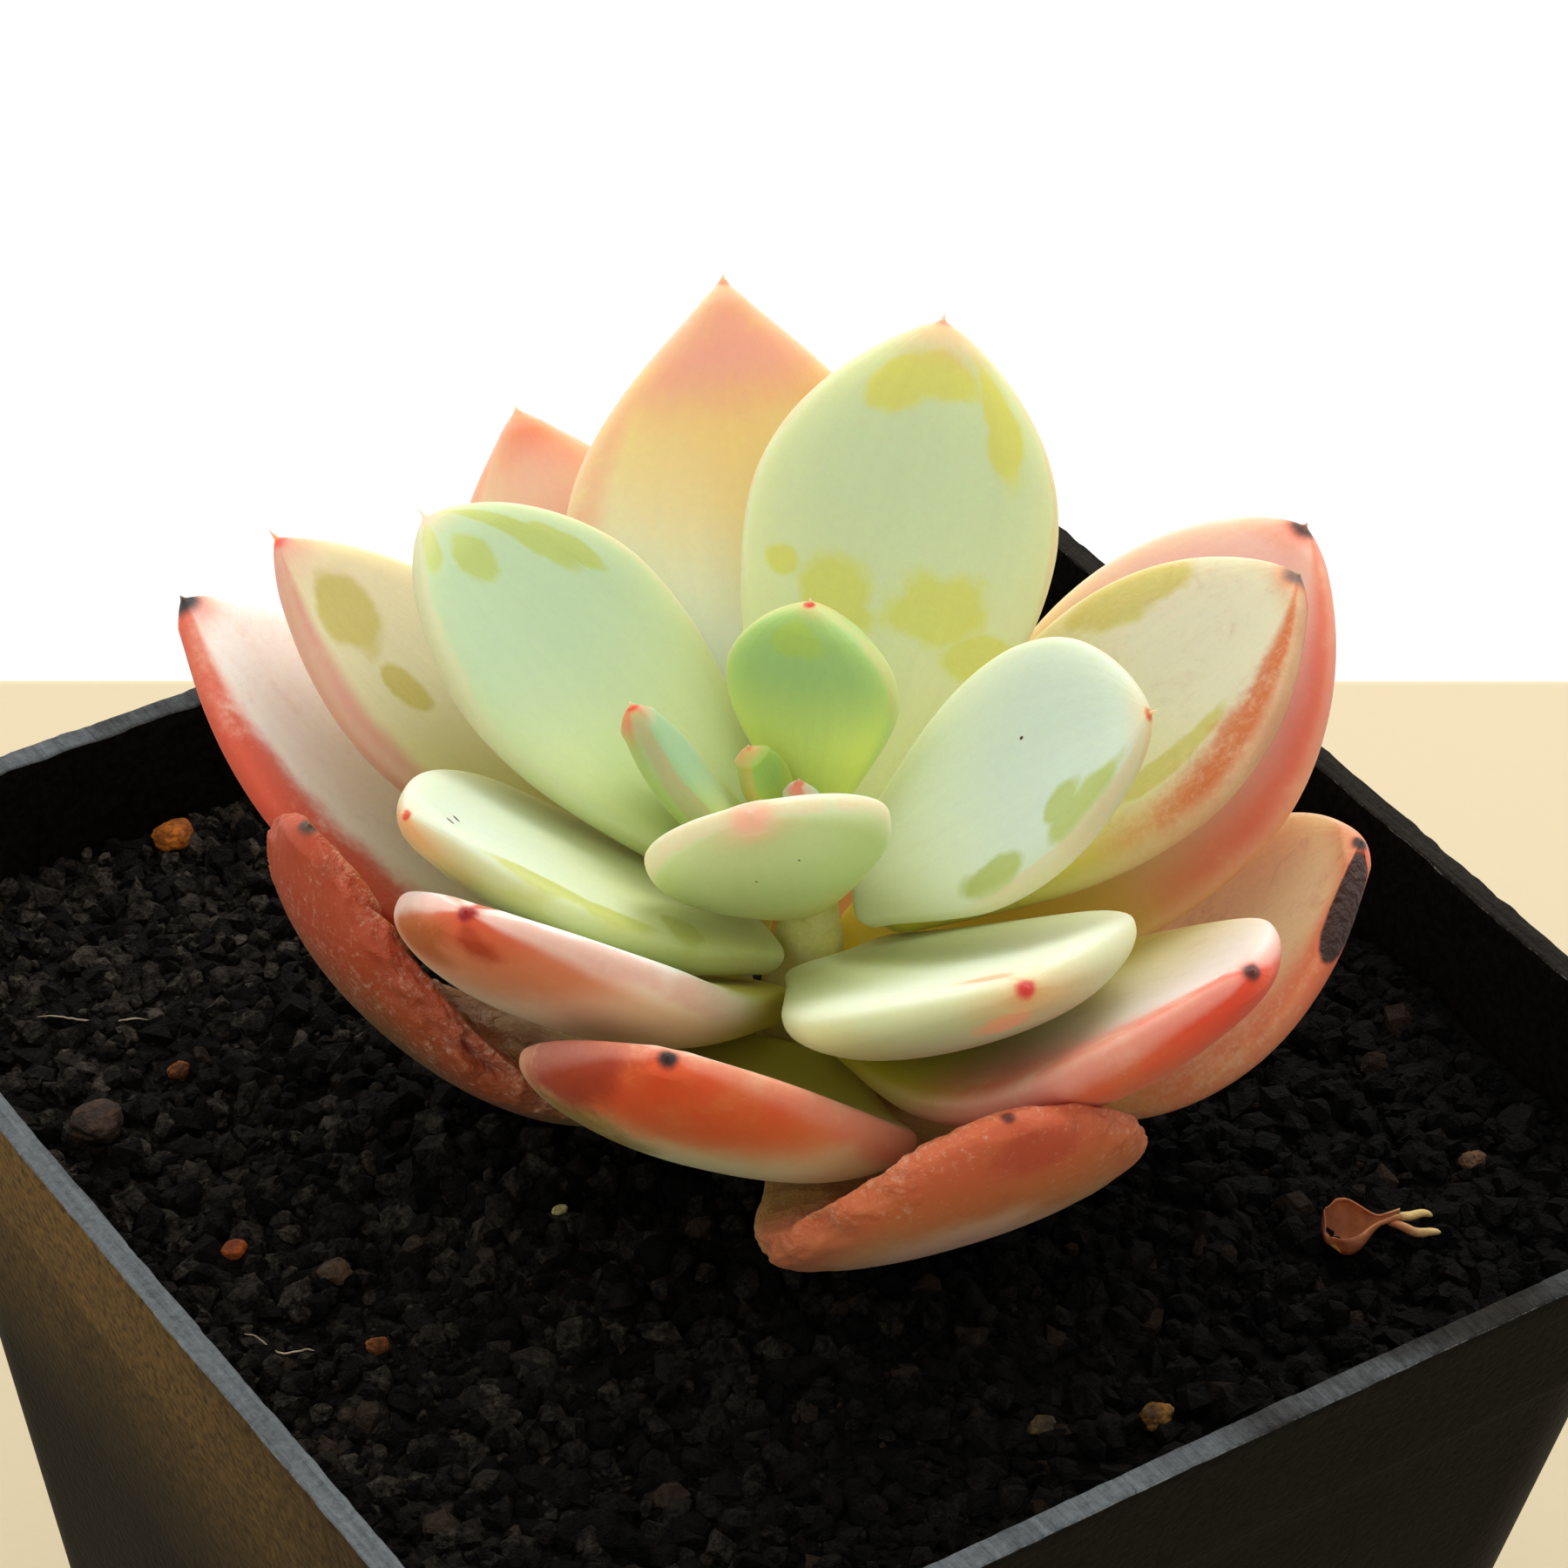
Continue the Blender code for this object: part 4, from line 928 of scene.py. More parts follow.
def cut_drains(mesh, pot):
    """The shell with its drain holes cut, as a new mesh."""
    shell = bpy.data.objects.new("pot_uncut", mesh)
    cutter = bpy.data.objects.new("drain_cutter", drain_cutter(pot))
    for thing in (shell, cutter):
        bpy.context.scene.collection.objects.link(thing)
    holes = shell.modifiers.new("drains", 'BOOLEAN')
    holes.operation = 'DIFFERENCE'
    holes.object = cutter
    bpy.context.view_layer.update()
    graph = bpy.context.evaluated_depsgraph_get()
    cut = bpy.data.meshes.new_from_object(shell.evaluated_get(graph))
    for thing in (shell, cutter):
        bpy.data.objects.remove(thing)
    cut.name = "pot_shell"
    return cut


def plastic_finish(pot):
    """Black moulded plastic: fine pebbling, scuffs, a painted warm reflection of the table on the -X wall,
    and a scraped, striated rim with a painted sky reflection, paler towards -X.
    """
    # Far less specular than real plastic: the walls' reflections are painted into the colour instead.
    finish = Finish("pot_plastic", Specular_IOR_Level=0.012)
    place = finish.place()
    cut = finish.attribute("cut")
    pebbles = finish.noise(place, 2100, 3, 0, 0.6)
    cloud = finish.noise(place, 60, 3)
    stroke = finish.noise(finish.stretch(place, (2.8, 0.12, 1.0)), 1500, 3, 0.3)
    cross = finish.noise(finish.stretch(place, (4.0, 4.0, 1.0)), 620, 4, 0.5, 0.7)
    patches = finish.noise(place, 150, 3)
    scratch = finish.noise(finish.stretch(place, (0.25, 0.25, 3.2)), 900, 4, 0.4, 0.7)
    scuff = finish.step(0.66, 0.86, scratch * 0.75 + cloud * 0.45)
    fleck = finish.step(0.84, 0.98, finish.noise(place, 2600, 2) * 0.75 + cloud * 0.4)
    body = finish.tone(pot.color, 1 + cloud * 0.4 + pebbles * 0.9)
    x, y, z = (finish.axis(place, at) for at in range(3))
    # Painted reflection: a warm brown on the -X wall below the rim stands in for the table's reflection;
    # it fades downwards and towards -Y.
    painted_table_reflection = finish.step(-24 * MM, -30 * MM, x) * finish.step(36 * MM, 62 * MM, z + cloud * 6 * MM)
    painted_table_reflection = painted_table_reflection * (finish.step(-38 * MM, 10 * MM, y + patches * 6 * MM) * 0.85 + 0.15)
    body = finish.mix(painted_table_reflection, body, finish.tone(pot.dust_and_painted_light, 1 + pebbles * 1.3))
    body = finish.mix(scuff * 0.16, body, (0.13, 0.12, 0.105, 1))
    body = finish.mix(fleck * 0.5, body, (0.30, 0.28, 0.24, 1))
    # Painted reflection and shade: the scraped rim is pale blue-grey towards -X, standing in for the sky's
    # reflection, and dark towards +X; worn carries this as well as the scraping's strokes.
    pale = finish.step(-0.55, 0.55, patches - x / (40 * MM) - 0.1)
    worn = finish.mix(pale, pot.rim_painted_shade, pot.rim_painted_reflection)
    worn = finish.tone(worn, 1 + stroke * 0.45 + cross * 0.5)
    whitened = finish.step(0.05, 0.35, cut) * finish.step(0.95, 0.65, cut)
    whitened = whitened * finish.step(-0.1, 0.7, cross + patches * 0.4)
    worn = finish.mix(whitened * 0.7, worn, (0.34, 0.36, 0.37, 1))
    color = finish.mix(finish.step(0.0, 0.25, cut), body, worn)
    roughness = 0.50 + pebbles * 0.05 + scuff * 0.10 - cut * 0.10
    height = pebbles * 0.4 + scuff * 0.2 + cut * (stroke * 0.8 + cross * 0.8)
    return finish.done(color, roughness, height, 0.07 * MM)


# ---------------------------------------------------------------- soil

SOIL_GAP = 0.3 * MM                 # between the packed soil and the pot
BED_BELOW = 0.25 * MM               # from the soil's level down to the top of the packed soil
LOOSE_HEIGHT = 0.75 * MM            # from the packed soil up to the middle of a loose grain
GRAIN_GAP = 0.1 * MM                # between the outermost grains and the pot
GRAIN_TOP = 1.1 * MM                # how far above the soil's level a grain may reach
STEM_CLEAR = 2.7 * MM               # radius around the stem's axis without grains
GRAIN_SEED = 7
GRAIN_PIECE = 5200                  # grains in one object, which keeps it under 200,000 triangles


def bed_height(x, y):
    """The top of the packed soil: slow waves and finer lumps."""
    points = np.stack([x, y, np.zeros_like(x)], axis=-1)
    slow = 0.45 * MM * rough_noise(points, 11 * MM, 21)
    lumps = 0.32 * MM * layered_noise(points, 2.4 * MM, 4, 31)
    return SOIL_LEVEL - BED_BELOW + slow + lumps


def soil_mesh(pot):
    """Packed soil: from the middle of its top out to the wall, down the sides and under."""
    ledge = POT_HEIGHT - pot.band_height
    gap = pot.wall + SOIL_GAP
    corner = pot.corner - gap
    top = (pot_half(pot, SOIL_LEVEL, True) - gap, corner + pot.band_step, SOIL_LEVEL)
    shares = np.linspace(0.012, 1, 120)
    levels = [(top[0] * share, top[1] * share, SOIL_LEVEL) for share in shares]
    flat_rows = len(levels)
    ledge_top = ledge + SOIL_GAP
    levels += straight(levels[-1], (pot_half(pot, ledge_top, True) - gap, top[1], ledge_top), 2)
    below = ledge - pot.wall
    levels += straight(levels[-1], (pot_half(pot, below, False) - gap, corner, below), 2)
    bottom = pot.floor + SOIL_GAP
    floor_half = pot_half(pot, bottom, False) - gap
    levels += straight(levels[-1], (floor_half, corner, bottom), 8)
    levels += [(floor_half * share, max(corner * share, MM / 2), bottom) for share in (0.6, 0.2)]
    rings = square_rings(levels)
    rings[:flat_rows, :, 2] = bed_height(rings[:flat_rows, :, 0], rings[:flat_rows, :, 1])
    first = np.array([0, 0, rings[0, :, 2].mean()])
    return tube_mesh("soil_bed", rings, first, np.array([0, 0, bottom]))


def pebble():
    """A ball of 18 points and 32 faces: an octahedron whose edges are split once."""
    axes = np.array([[1, 0, 0], [0, 1, 0], [-1, 0, 0], [0, -1, 0], [0, 0, 1], [0, 0, -1]], float)
    triangles = [(i, (i + 1) % 4, 4) for i in range(4)] + [((i + 1) % 4, i, 5) for i in range(4)]
    points = list(axes)
    middles = {}

    def between(a, b):
        key = (min(a, b), max(a, b))
        if key not in middles:
            middle = axes[a] + axes[b]
            middles[key] = len(points)
            points.append(middle / np.linalg.norm(middle))
        return middles[key]

    faces = []
    for a, b, c in triangles:
        ab, bc, ca = between(a, b), between(b, c), between(c, a)
        faces += [(a, ab, ca), (ab, b, bc), (ca, bc, c), (ab, bc, ca)]
    return np.array(points), np.array(faces)


def random_turns(rng, count):
    """Evenly spread random rotations, as matrices, from random unit quaternions."""
    w, x, y, z = rng.normal(size=(4, count))
    size = np.sqrt(w * w + x * x + y * y + z * z)
    w, x, y, z = w / size, x / size, y / size, z / size
    rows = [
        [1 - 2 * (y * y + z * z), 2 * (x * y - z * w), 2 * (x * z + y * w)],
        [2 * (x * y + z * w), 1 - 2 * (x * x + z * z), 2 * (y * z - x * w)],
        [2 * (x * z - y * w), 2 * (y * z + x * w), 1 - 2 * (x * x + y * y)],
    ]
    return np.array(rows).transpose(2, 0, 1)


def grain_points(rng, middles, sizes):
    """Lumpy grains: a pebble with each point pushed in or out, stretched and turned at random."""
    ball, _ = pebble()
    count = len(sizes)
    lumps = 1 + rng.uniform(-0.32, 0.28, size=(count, len(ball), 1))
    stretch = rng.uniform(0.62, 1.15, size=(count, 1, 3))
    shaped = ball[None] * lumps * stretch * sizes[:, None, None] / 2
    turned = np.einsum('nij,nkj->nki', random_turns(rng, count), shaped)
    return turned + middles[:, None, :]


def grain_mesh(name, points, shades):
    """All the grains as one mesh, with a shade for each grain."""
    _, faces = pebble()
    count, corners, _ = points.shape
    starts = np.arange(count)[:, None, None] * corners
    mesh = bpy.data.meshes.new(name)
    mesh.from_pydata(points.reshape(-1, 3).tolist(), [], (faces[None] + starts).reshape(-1, 3).tolist())
    layer = mesh.attributes.new("shade", 'FLOAT', 'POINT')
    layer.data.foreach_set("value", np.repeat(shades, corners))
    mesh.shade_flat()
    return mesh


def inside_pot(pot, x, y, reach):
    """How far inside the soil's rounded-square edge each point is, less its reach."""
    half = pot_half(pot, SOIL_LEVEL, True) - pot.wall - GRAIN_GAP
    corner = pot.corner + pot.band_step - pot.wall
    beyond = np.stack([np.abs(x), np.abs(y)], axis=-1) - (half - corner)
    outside = np.linalg.norm(np.maximum(beyond, 0), axis=-1)
    return corner - outside - reach


def scatter(rng, pot, soil):
    """Places and widths of the grains: many small, few large, none in the stem or the wall."""
    share = rng.uniform(size=soil.grains * 2)
    sizes = soil.smallest + (soil.largest - soil.smallest) * share ** 3.4
    half = POT_HIGH.x
    x, y = rng.uniform(-half, half, size=(2, len(sizes)))
    from_stem = np.hypot(x - STEM_AXIS[0], y - STEM_AXIS[1])
    kept = (inside_pot(pot, x, y, sizes / 2) > 0) & (from_stem > STEM_CLEAR + sizes / 2)
    x, y, sizes = (part[kept][:soil.grains] for part in (x, y, sizes))
    lift = rng.uniform(-0.25, 0.45, size=len(sizes)) * sizes
    z = np.minimum(bed_height(x, y) + lift, SOIL_LEVEL + GRAIN_TOP - sizes / 2)
    return np.stack([x, y, z], axis=-1), sizes


def soil_finish(name, soil, grains):
    """Near-black grit: dusty grains, lighter towards -X and +Y as painted light, brown bits, pits, and
    pale specks painted as glints of mineral.
    """
    finish = Finish(name, Specular_IOR_Level=0.09)
    place = finish.place()
    fine = finish.noise(place, 3400, 4, 0, 0.72)
    medium = finish.noise(place, 1500, 3, 0.4, 0.6)
    coarse = finish.noise(place, 330, 3)
    shade = finish.attribute("shade") if grains else finish.step(-0.7, 0.9, coarse) * 0.5
    # Painted light: dust is strongest towards -X and +Y and fades towards +X and -Y, so the soil is
    # lighter on the side where the light falls brighter.
    side = finish.node('ShaderNodeVectorMath', {"operation": 'DOT_PRODUCT'},
                       {0: place, 1: (0.7, -0.7, 0.0)}, "Value")
    painted_lit_side = finish.step(30 * MM, -30 * MM, side + coarse * 4 * MM) * 0.93 + 0.07
    dust_and_painted_light = finish.step(-0.4, 0.9, fine * 0.55 + medium * 0.45 + coarse * 0.25) * shade * painted_lit_side
    color = finish.mix(dust_and_painted_light, soil.dark, soil.dusty)
    brown = finish.step(0.93, 0.97, shade + coarse * 0.02)
    color = finish.mix(brown * 0.6, color, (0.040, 0.024, 0.014, 1))
    # Painted highlights: rare pale specks, a little smoother, stand in for glints on mineral grains.
    near, chosen = finish.cells(place, 900.0)
    glint = finish.step(0.11, 0.07, near) * finish.step(0.95, 0.97, chosen)
    color = finish.mix(glint * 0.85, color, (0.42, 0.40, 0.34, 1))
    roughness = 0.72 - glint * 0.45 + fine * 0.14
    return finish.done(color, roughness, fine * 0.6 + medium * 0.6, 0.30 * MM)


# Loose coloured grains: place in millimetres on the soil, width in millimetres, colour
SPECKS = [
    ((-26.7, -5.8), 1.2, (176, 96, 30)),
    ((-24.7, 16.6), 1.1, (170, 92, 30)),
    ((-13.7, -2.1), 0.7, (236, 220, 150)),
    ((2.8, -29.4), 1.6, (150, 104, 40)),
    ((-2.4, -27.1), 1.3, (112, 92, 52)),
    ((-25.7, -0.5), 1.7, (88, 66, 44)),
    ((28.0, -22.9), 1.4, (100, 70, 44)),
    ((29.5, 12.0), 1.3, (140, 96, 40)),
    ((12.5, 30.5), 1.2, (120, 84, 44)),
    ((31.0, -6.0), 1.0, (190, 176, 140)),
]


def lump_mesh(name, middle, reach, seed, rough=0.16):
    """A lump: a ball of the given half-sizes, pushed in and out by layered noise."""
    rows, columns = 38, 52
    polar = np.linspace(0, math.pi, rows + 2)[:, None]
    turn = np.arange(columns) / columns * 2 * math.pi
    ball = np.stack(np.broadcast_arrays(np.sin(polar) * np.cos(turn), np.sin(polar) * np.sin(turn),
                                        np.cos(polar)), axis=-1)
    swell = 1 + rough * layered_noise(ball, 0.75, 4, seed)
    points = ball * swell[..., None] * np.array(reach) + np.array(middle)
    return tube_mesh(name, points[1:-1], points[0].mean(axis=0), points[-1].mean(axis=0))


def lump_finish(name, color, dark):
    """A baked or crumbly lump: two tones in patches, pitted and matt."""
    finish = Finish(name, Specular_IOR_Level=0.3)
    place = finish.place()
    coarse = finish.noise(place, 900, 3)
    fine = finish.noise(place, 4200, 3)
    patch = finish.step(-0.5, 0.8, coarse + fine * 0.3)
    mixed = finish.tone(finish.mix(patch, dark, color), 1 + fine * 0.18)
    return finish.done(mixed, 0.82 + fine * 0.05, coarse * 0.5 + fine * 0.5, 0.12 * MM)


# ---------------------------------------------------------------- dry scrap, fibres and stem

def sweep(path, radii, columns):
    """Rings of a round tube along a path, each square to the path's own direction."""
    ahead = np.gradient(path, axis=0)
    ahead /= np.linalg.norm(ahead, axis=1, keepdims=True)
    side = np.cross(ahead, [0.0, 0.0, 1.0])
    side /= np.linalg.norm(side, axis=1, keepdims=True).clip(1e-9)
    top = np.cross(side, ahead)
    turn = np.arange(columns) / columns * 2 * math.pi
    ring = np.cos(turn)[None, :, None] * side[:, None] + np.sin(turn)[None, :, None] * top[:, None]
    return path[:, None] + ring * np.asarray(radii)[:, None, None]


def join_meshes(name, parts):
    """Several (points, faces) pairs as one mesh of separate closed bodies."""
    points = []
    faces = []
    start = 0
    for part_points, part_faces in parts:
        points.append(part_points)
        faces += [[corner + start for corner in face] for face in part_faces]
        start += len(part_points)
    mesh = bpy.data.meshes.new(name)
    mesh.from_pydata(np.concatenate(points).tolist(), [], faces)
    mesh.shade_smooth()
    return mesh


def hair(path, radius, columns=6):
    """A fine tube along a path, thinner towards both ends, as points and faces."""
    share = np.linspace(0, 1, len(path))
    rings = sweep(path, radius * (0.35 + 0.65 * np.sin(math.pi * share) ** 0.5), columns)
    return tube(rings, path[0], path[-1])


SCRAP_TURN = 153.0                  # degrees, the way the cup of the scrap points


def scrap_parts():
    """A dry cup torn into two stalks: a thin curled sheet, and two bent hairs.

    The sheet's section is an arc of a circle that opens from the stalk to the mouth, with an
    inner arc a wall's thickness inside it, joined all the way round.
    """
    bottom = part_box("dry_scrap")[0].z
    stalk = np.array([22.5, -26.0]) * MM
    length = 5.4 * MM
    ahead = direction(math.radians(SCRAP_TURN))
    beside = direction(math.radians(SCRAP_TURN + 90))
    rows, arc = 44, 26
    share = np.linspace(0, 1, rows)[:, None]
    wide = (0.32 + 1.35 * smooth_step(0.25, 0.75, share)) * MM
    wide = wide * (1 - 0.30 * smooth_step(0.8, 1.0, share))
    opening = np.radians(150 - 45 * share)
    wall = 0.11 * MM
    angle = np.linspace(-1, 1, arc)[None, :] * opening
    outer = np.stack([np.sin(angle) * wide, -np.cos(angle) * wide * 0.72], axis=-1)
    inner = np.stack([np.sin(angle) * (wide - wall), -np.cos(angle) * (wide * 0.72 - wall)], axis=-1)
    section = np.concatenate([outer, inner[:, ::-1]], axis=1)
    ragged = 0.22 * MM * rough_noise(np.stack(np.broadcast_arrays(
        share * 3, np.linspace(0, 5, 2 * arc)[None, :], 0.0), axis=-1), 0.8, 3)
    forward = (0.30 + 0.70 * share) * length + ragged * smooth_step(0.6, 1.0, share)
    bend = 0.5 * MM * np.sin(share * 2.4)
    side = section[..., 0] + bend
    up = section[..., 1] + bottom + 1.25 * MM - 0.25 * MM * share
    flat = stalk + forward[..., None] * ahead + side[..., None] * beside
    rings = np.concatenate([flat, up[..., None]], axis=-1)
    parts = [tube(rings, rings[0].mean(axis=0), rings[-1].mean(axis=0))]
    for spread, drop in ((0.75, 0.15), (-0.95, 0.55)):
        run = np.linspace(0, 1, 18)
        forward = length * (0.42 - 0.46 * run)
        side = spread * MM * np.sin(run * 1.7) + 0.35 * MM
        z = bottom + (0.95 - drop * run ** 2 + 0.10 * np.sin(run * 9)) * MM
        path = np.column_stack([stalk + forward[:, None] * ahead + side[:, None] * beside, z])
        parts.append(hair(path, 0.24 * MM, 9))
    return parts


# Rootlets: where each starts in millimetres, its heading in degrees and its length
FIBRES = [(-31.5, -1.5, -70, 4.0), (-22.0, -31.5, 10, 4.0), (10.0, -32.5, 175, 5.0),
          (30.5, 3.0, 100, 9.0), (-10.0, 31.0, 10, 8.0), (24.0, 24.0, 200, 7.0),
          (-29.0, 24.0, -40, 6.0)]


def fibre_parts(rng):
    """Fine rootlets lying on the grit: each path turns slowly as it goes."""
    parts = []
    for x, y, heading, length in FIBRES:
        run = np.linspace(0, 1, 26)
        turn = np.radians(heading) + np.cumsum(rng.normal(0, 0.16, size=len(run)))
        steps = direction(turn) * length * MM / len(run)
        flat = np.array([x, y]) * MM + np.cumsum(steps, axis=0)
        z = bed_height(flat[:, 0], flat[:, 1]) + (0.75 + 0.25 * np.sin(run * 8)) * MM
        parts.append(hair(np.column_stack([flat, z]), 0.055 * MM))
    return parts


def stem_mesh():
    """The stem: a turned profile with leaf-scar rings and slow lumps."""
    radius = (STEM_HIGH.x - STEM_LOW.x) / 2
    tip_radius = 0.7 * MM
    narrowing = SOIL_LEVEL + 6.5 * MM
    rows, columns = 90, 64
    height = np.linspace(STEM_LOW.z, STEM_HIGH.z, rows)
    past = np.clip((height - narrowing) / (STEM_HIGH.z - narrowing), 0, 1)
    size = radius + (tip_radius - radius) * past
    size = size * np.sqrt(np.clip((STEM_HIGH.z + 0.05 * MM - height) / (0.5 * MM), 0, 1))
    size = np.maximum(size, 0.12 * MM)
    rings_of_scars = 0.05 * MM * np.sin((height - SOIL_LEVEL) / (0.55 * MM))
    turn = np.arange(columns) / columns * 2 * math.pi
    flat = direction(turn)[None] * (size + rings_of_scars * (size > MM))[:, None, None]
    points = np.concatenate([flat + STEM_AXIS, np.broadcast_to(height[:, None, None], (rows, columns, 1))],
                            axis=-1)
    lumps = 0.10 * MM * layered_noise(points, 1.5 * MM, 3, 41)
    points[..., :2] += direction(turn)[None] * lumps[..., None]
    first = np.array([*STEM_AXIS, STEM_LOW.z])
    last = np.array([*STEM_AXIS, STEM_HIGH.z])
    return tube_mesh("stem_bark", points, first, last)


def stem_finish():
    """Corky below and fleshy yellow-green towards the heart, so light there that it is partly painted
    glow.
    """
    finish = Finish("stem_bark", Subsurface_Weight=0.6, Subsurface_Radius=(1.0, 0.6, 0.3),
                    Subsurface_Scale=1.5 * MM)
    place = finish.place()
    height = finish.axis(place, 2)
    coarse = finish.noise(place, 700, 4)
    fine = finish.noise(place, 3200, 3)
    young = finish.step(SOIL_LEVEL + 1 * MM, SOIL_LEVEL + 7 * MM, height + coarse * 0.8 * MM)
    bark = finish.mix(finish.step(-0.5, 0.6, coarse), display(96, 74, 40), display(164, 136, 80))
    # Painted glow: the young stem's near white-yellow is partly its own colour and partly stands in for
    # light shining through the heart of the rosette.
    flesh = finish.mix(finish.step(-0.4, 0.6, coarse), display(246, 238, 140), display(255, 250, 180))
    color = finish.tone(finish.mix(young, bark, flesh), 1 + fine * 0.10)
    return finish.done(color, 0.72 - young * 0.15, coarse * 0.5 + fine * 0.3, 0.12 * MM)


def scrap_finish():
    """Dry papery skin: rust brown at the cup, straw at the stalks, with darker veins."""
    finish = Finish("dry_scrap_skin", Subsurface_Weight=0.15, Subsurface_Radius=(1.0, 0.5, 0.2),
                    Subsurface_Scale=0.5 * MM)
    place = finish.place()
    coarse = finish.noise(place, 650, 3)
    fine = finish.noise(place, 3600, 3)
    straw = finish.step(20.6 * MM, 21.8 * MM, finish.axis(place, 0) + coarse * 0.5 * MM)
    rust = finish.mix(finish.step(-0.6, 0.7, coarse), display(124, 60, 30), display(180, 112, 66))
    color = finish.mix(straw, rust, display(214, 184, 118))
    return finish.done(finish.tone(color, 1 + fine * 0.15), 0.7, coarse * 0.6 + fine * 0.3, 0.08 * MM)


def fibre_finish():
    """Pale dry rootlets, lighter and darker along their length."""
    finish = Finish("fibre", Subsurface_Weight=0.1)
    place = finish.place()
    patch = finish.noise(place, 700, 2)
    color = finish.mix(finish.step(-0.6, 0.6, patch), display(112, 92, 64), display(206, 190, 156))
    return finish.done(color, 0.75, patch, 0.02 * MM)


# ---------------------------------------------------------------- stage

def floor_mesh(stage):
    """A slab with rounded edges whose top is at zero, turned about Z, far edge near the pot."""
    thickness = 12 * MM
    radius = 2.0 * MM
    behind = stage.floor_behind
    reach = stage.floor_reach
    half = (reach + behind) / 2
    middle = behind - half
    levels = [(half * share, radius * 2, 0.0) for share in (0.02, 0.25, 0.5, 0.75)]
    levels += [(half - radius + radius * math.sin(a), radius * 2, radius * (math.cos(a) - 1))
               for a in np.radians(np.linspace(0, 90, 9))]
    levels += [(half, radius * 2, -thickness), (half * 0.5, radius * 2, -thickness),
               (half * 0.02, radius * 2, -thickness)]
    rings = square_rings(levels)
    widen = np.array([reach / half, 1.0])
    rings[..., :2] = rings[..., :2] * widen + np.array([0, middle])
    turn = np.array([direction(stage.floor_turn), direction(stage.floor_turn + math.pi / 2)])
    rings[..., :2] = rings[..., :2] @ turn
    return tube_mesh("floor", rings, rings[0].mean(axis=0), rings[-1].mean(axis=0))


def floor_finish(stage):
    """A plain painted table top with a faint unevenness of tone."""
    finish = Finish("floor", Specular_IOR_Level=0.25)
    place = finish.place()
    cloud = finish.noise(place, 12, 3)
    fine = finish.noise(place, 900, 2)
    color = finish.tone(stage.floor_color, 1 + cloud * 0.012)
    return finish.done(color, 0.62 + fine * 0.03, fine, 0.01 * MM)


ROOM_SIDE = (-0.80, 0.45, 0.40)     # where the room is brightest
ROOM_FADE = (-0.9, 0.2)             # cosines at which the room is darkest and brightest
ROOM_COLOR = (1.0, 0.99, 0.965, 1)
WINDOW_RISE = 0.35                  # slope of the direction to the window's middle
WINDOW_FADE = (0.15, 0.75)          # cosines at which the window starts and is whole


def light_world(stage):
    """A wide white window behind the plant, fading into a dimmer room that is darker at one side.

    The brightness depends on the direction alone: on how near it is to the window's own
    direction, and to the room's brighter side.
    """
    world = bpy.data.worlds.new("window")
    bpy.context.scene.world = world
    world.use_nodes = True
    nodes, links = world.node_tree.nodes, world.node_tree.links
    view = nodes.new('ShaderNodeTexCoord')

    def facing(towards, near, far, dim, bright):
        """Brightness from dim to bright as the direction turns towards a given one."""
        turn = nodes.new('ShaderNodeVectorMath')
        turn.operation = 'DOT_PRODUCT'
        turn.inputs[1].default_value = Vector(towards).normalized()
        links.new(view.outputs["Generated"], turn.inputs[0])
        ramp = nodes.new('ShaderNodeMapRange')
        ramp.interpolation_type = 'SMOOTHSTEP'
        for socket, value in zip(ramp.inputs[1:5], (near, far, dim, bright)):
            if isinstance(value, bpy.types.NodeSocket):
                links.new(value, socket)
            else:
                socket.default_value = value
        links.new(turn.outputs["Value"], ramp.inputs[0])
        return ramp.outputs[0]

    behind = stage.floor_turn + math.pi / 2
    dim = stage.fill_strength * stage.dark_side
    room = facing(ROOM_SIDE, *ROOM_FADE, dim, stage.fill_strength)
    window = (math.cos(behind), math.sin(behind), WINDOW_RISE)
    light = facing(window, *WINDOW_FADE, room, stage.window_strength)
    background = nodes["Background"]
    links.new(light, background.inputs["Strength"])
    background.inputs["Color"].default_value = ROOM_COLOR


KEY_SIZE = 0.30
KEY_DISTANCE = 0.55
KEY_AZIMUTH = math.radians(35)
KEY_ELEVATION = math.radians(52)
KEY_COLOR = (1, 0.985, 0.95)


def add_key(stage):
    """A square soft light above and behind the rosette, which it aims at."""
    lamp = bpy.data.lights.new("key", 'AREA')
    lamp.shape = 'SQUARE'
    lamp.size = KEY_SIZE
    lamp.energy = stage.key_power
    lamp.color = KEY_COLOR
    light = bpy.data.objects.new("key", lamp)
    bpy.context.scene.collection.objects.link(light)
    away = Vector((*(direction(KEY_AZIMUTH) * math.cos(KEY_ELEVATION)), math.sin(KEY_ELEVATION)))
    light.location = Vector((*STEM_AXIS, POT_HEIGHT)) + away * KEY_DISTANCE
    light.rotation_euler = away.to_track_quat('Z', 'Y').to_euler()


def add_camera(stage):
    """A long lens that looks down on the plant, slightly rolled."""
    lens = bpy.data.cameras.new("camera")
    lens.lens = stage.lens
    lens.sensor_width = 36
    lens.clip_start = 0.01
    lens.clip_end = 20
    camera = bpy.data.objects.new("camera", lens)
    bpy.context.scene.collection.objects.link(camera)
    back = Vector((math.sin(stage.azimuth) * math.cos(stage.elevation),
                   -math.cos(stage.azimuth) * math.cos(stage.elevation), math.sin(stage.elevation)))
    turn = (Matrix.Rotation(stage.azimuth, 4, 'Z') @ Matrix.Rotation(math.pi / 2 - stage.elevation, 4, 'X')
            @ Matrix.Rotation(stage.roll, 4, 'Z'))
    camera.matrix_world = Matrix.Translation(Vector(stage.aim) + back * stage.distance) @ turn
    bpy.context.scene.camera = camera


# ---------------------------------------------------------------- operators

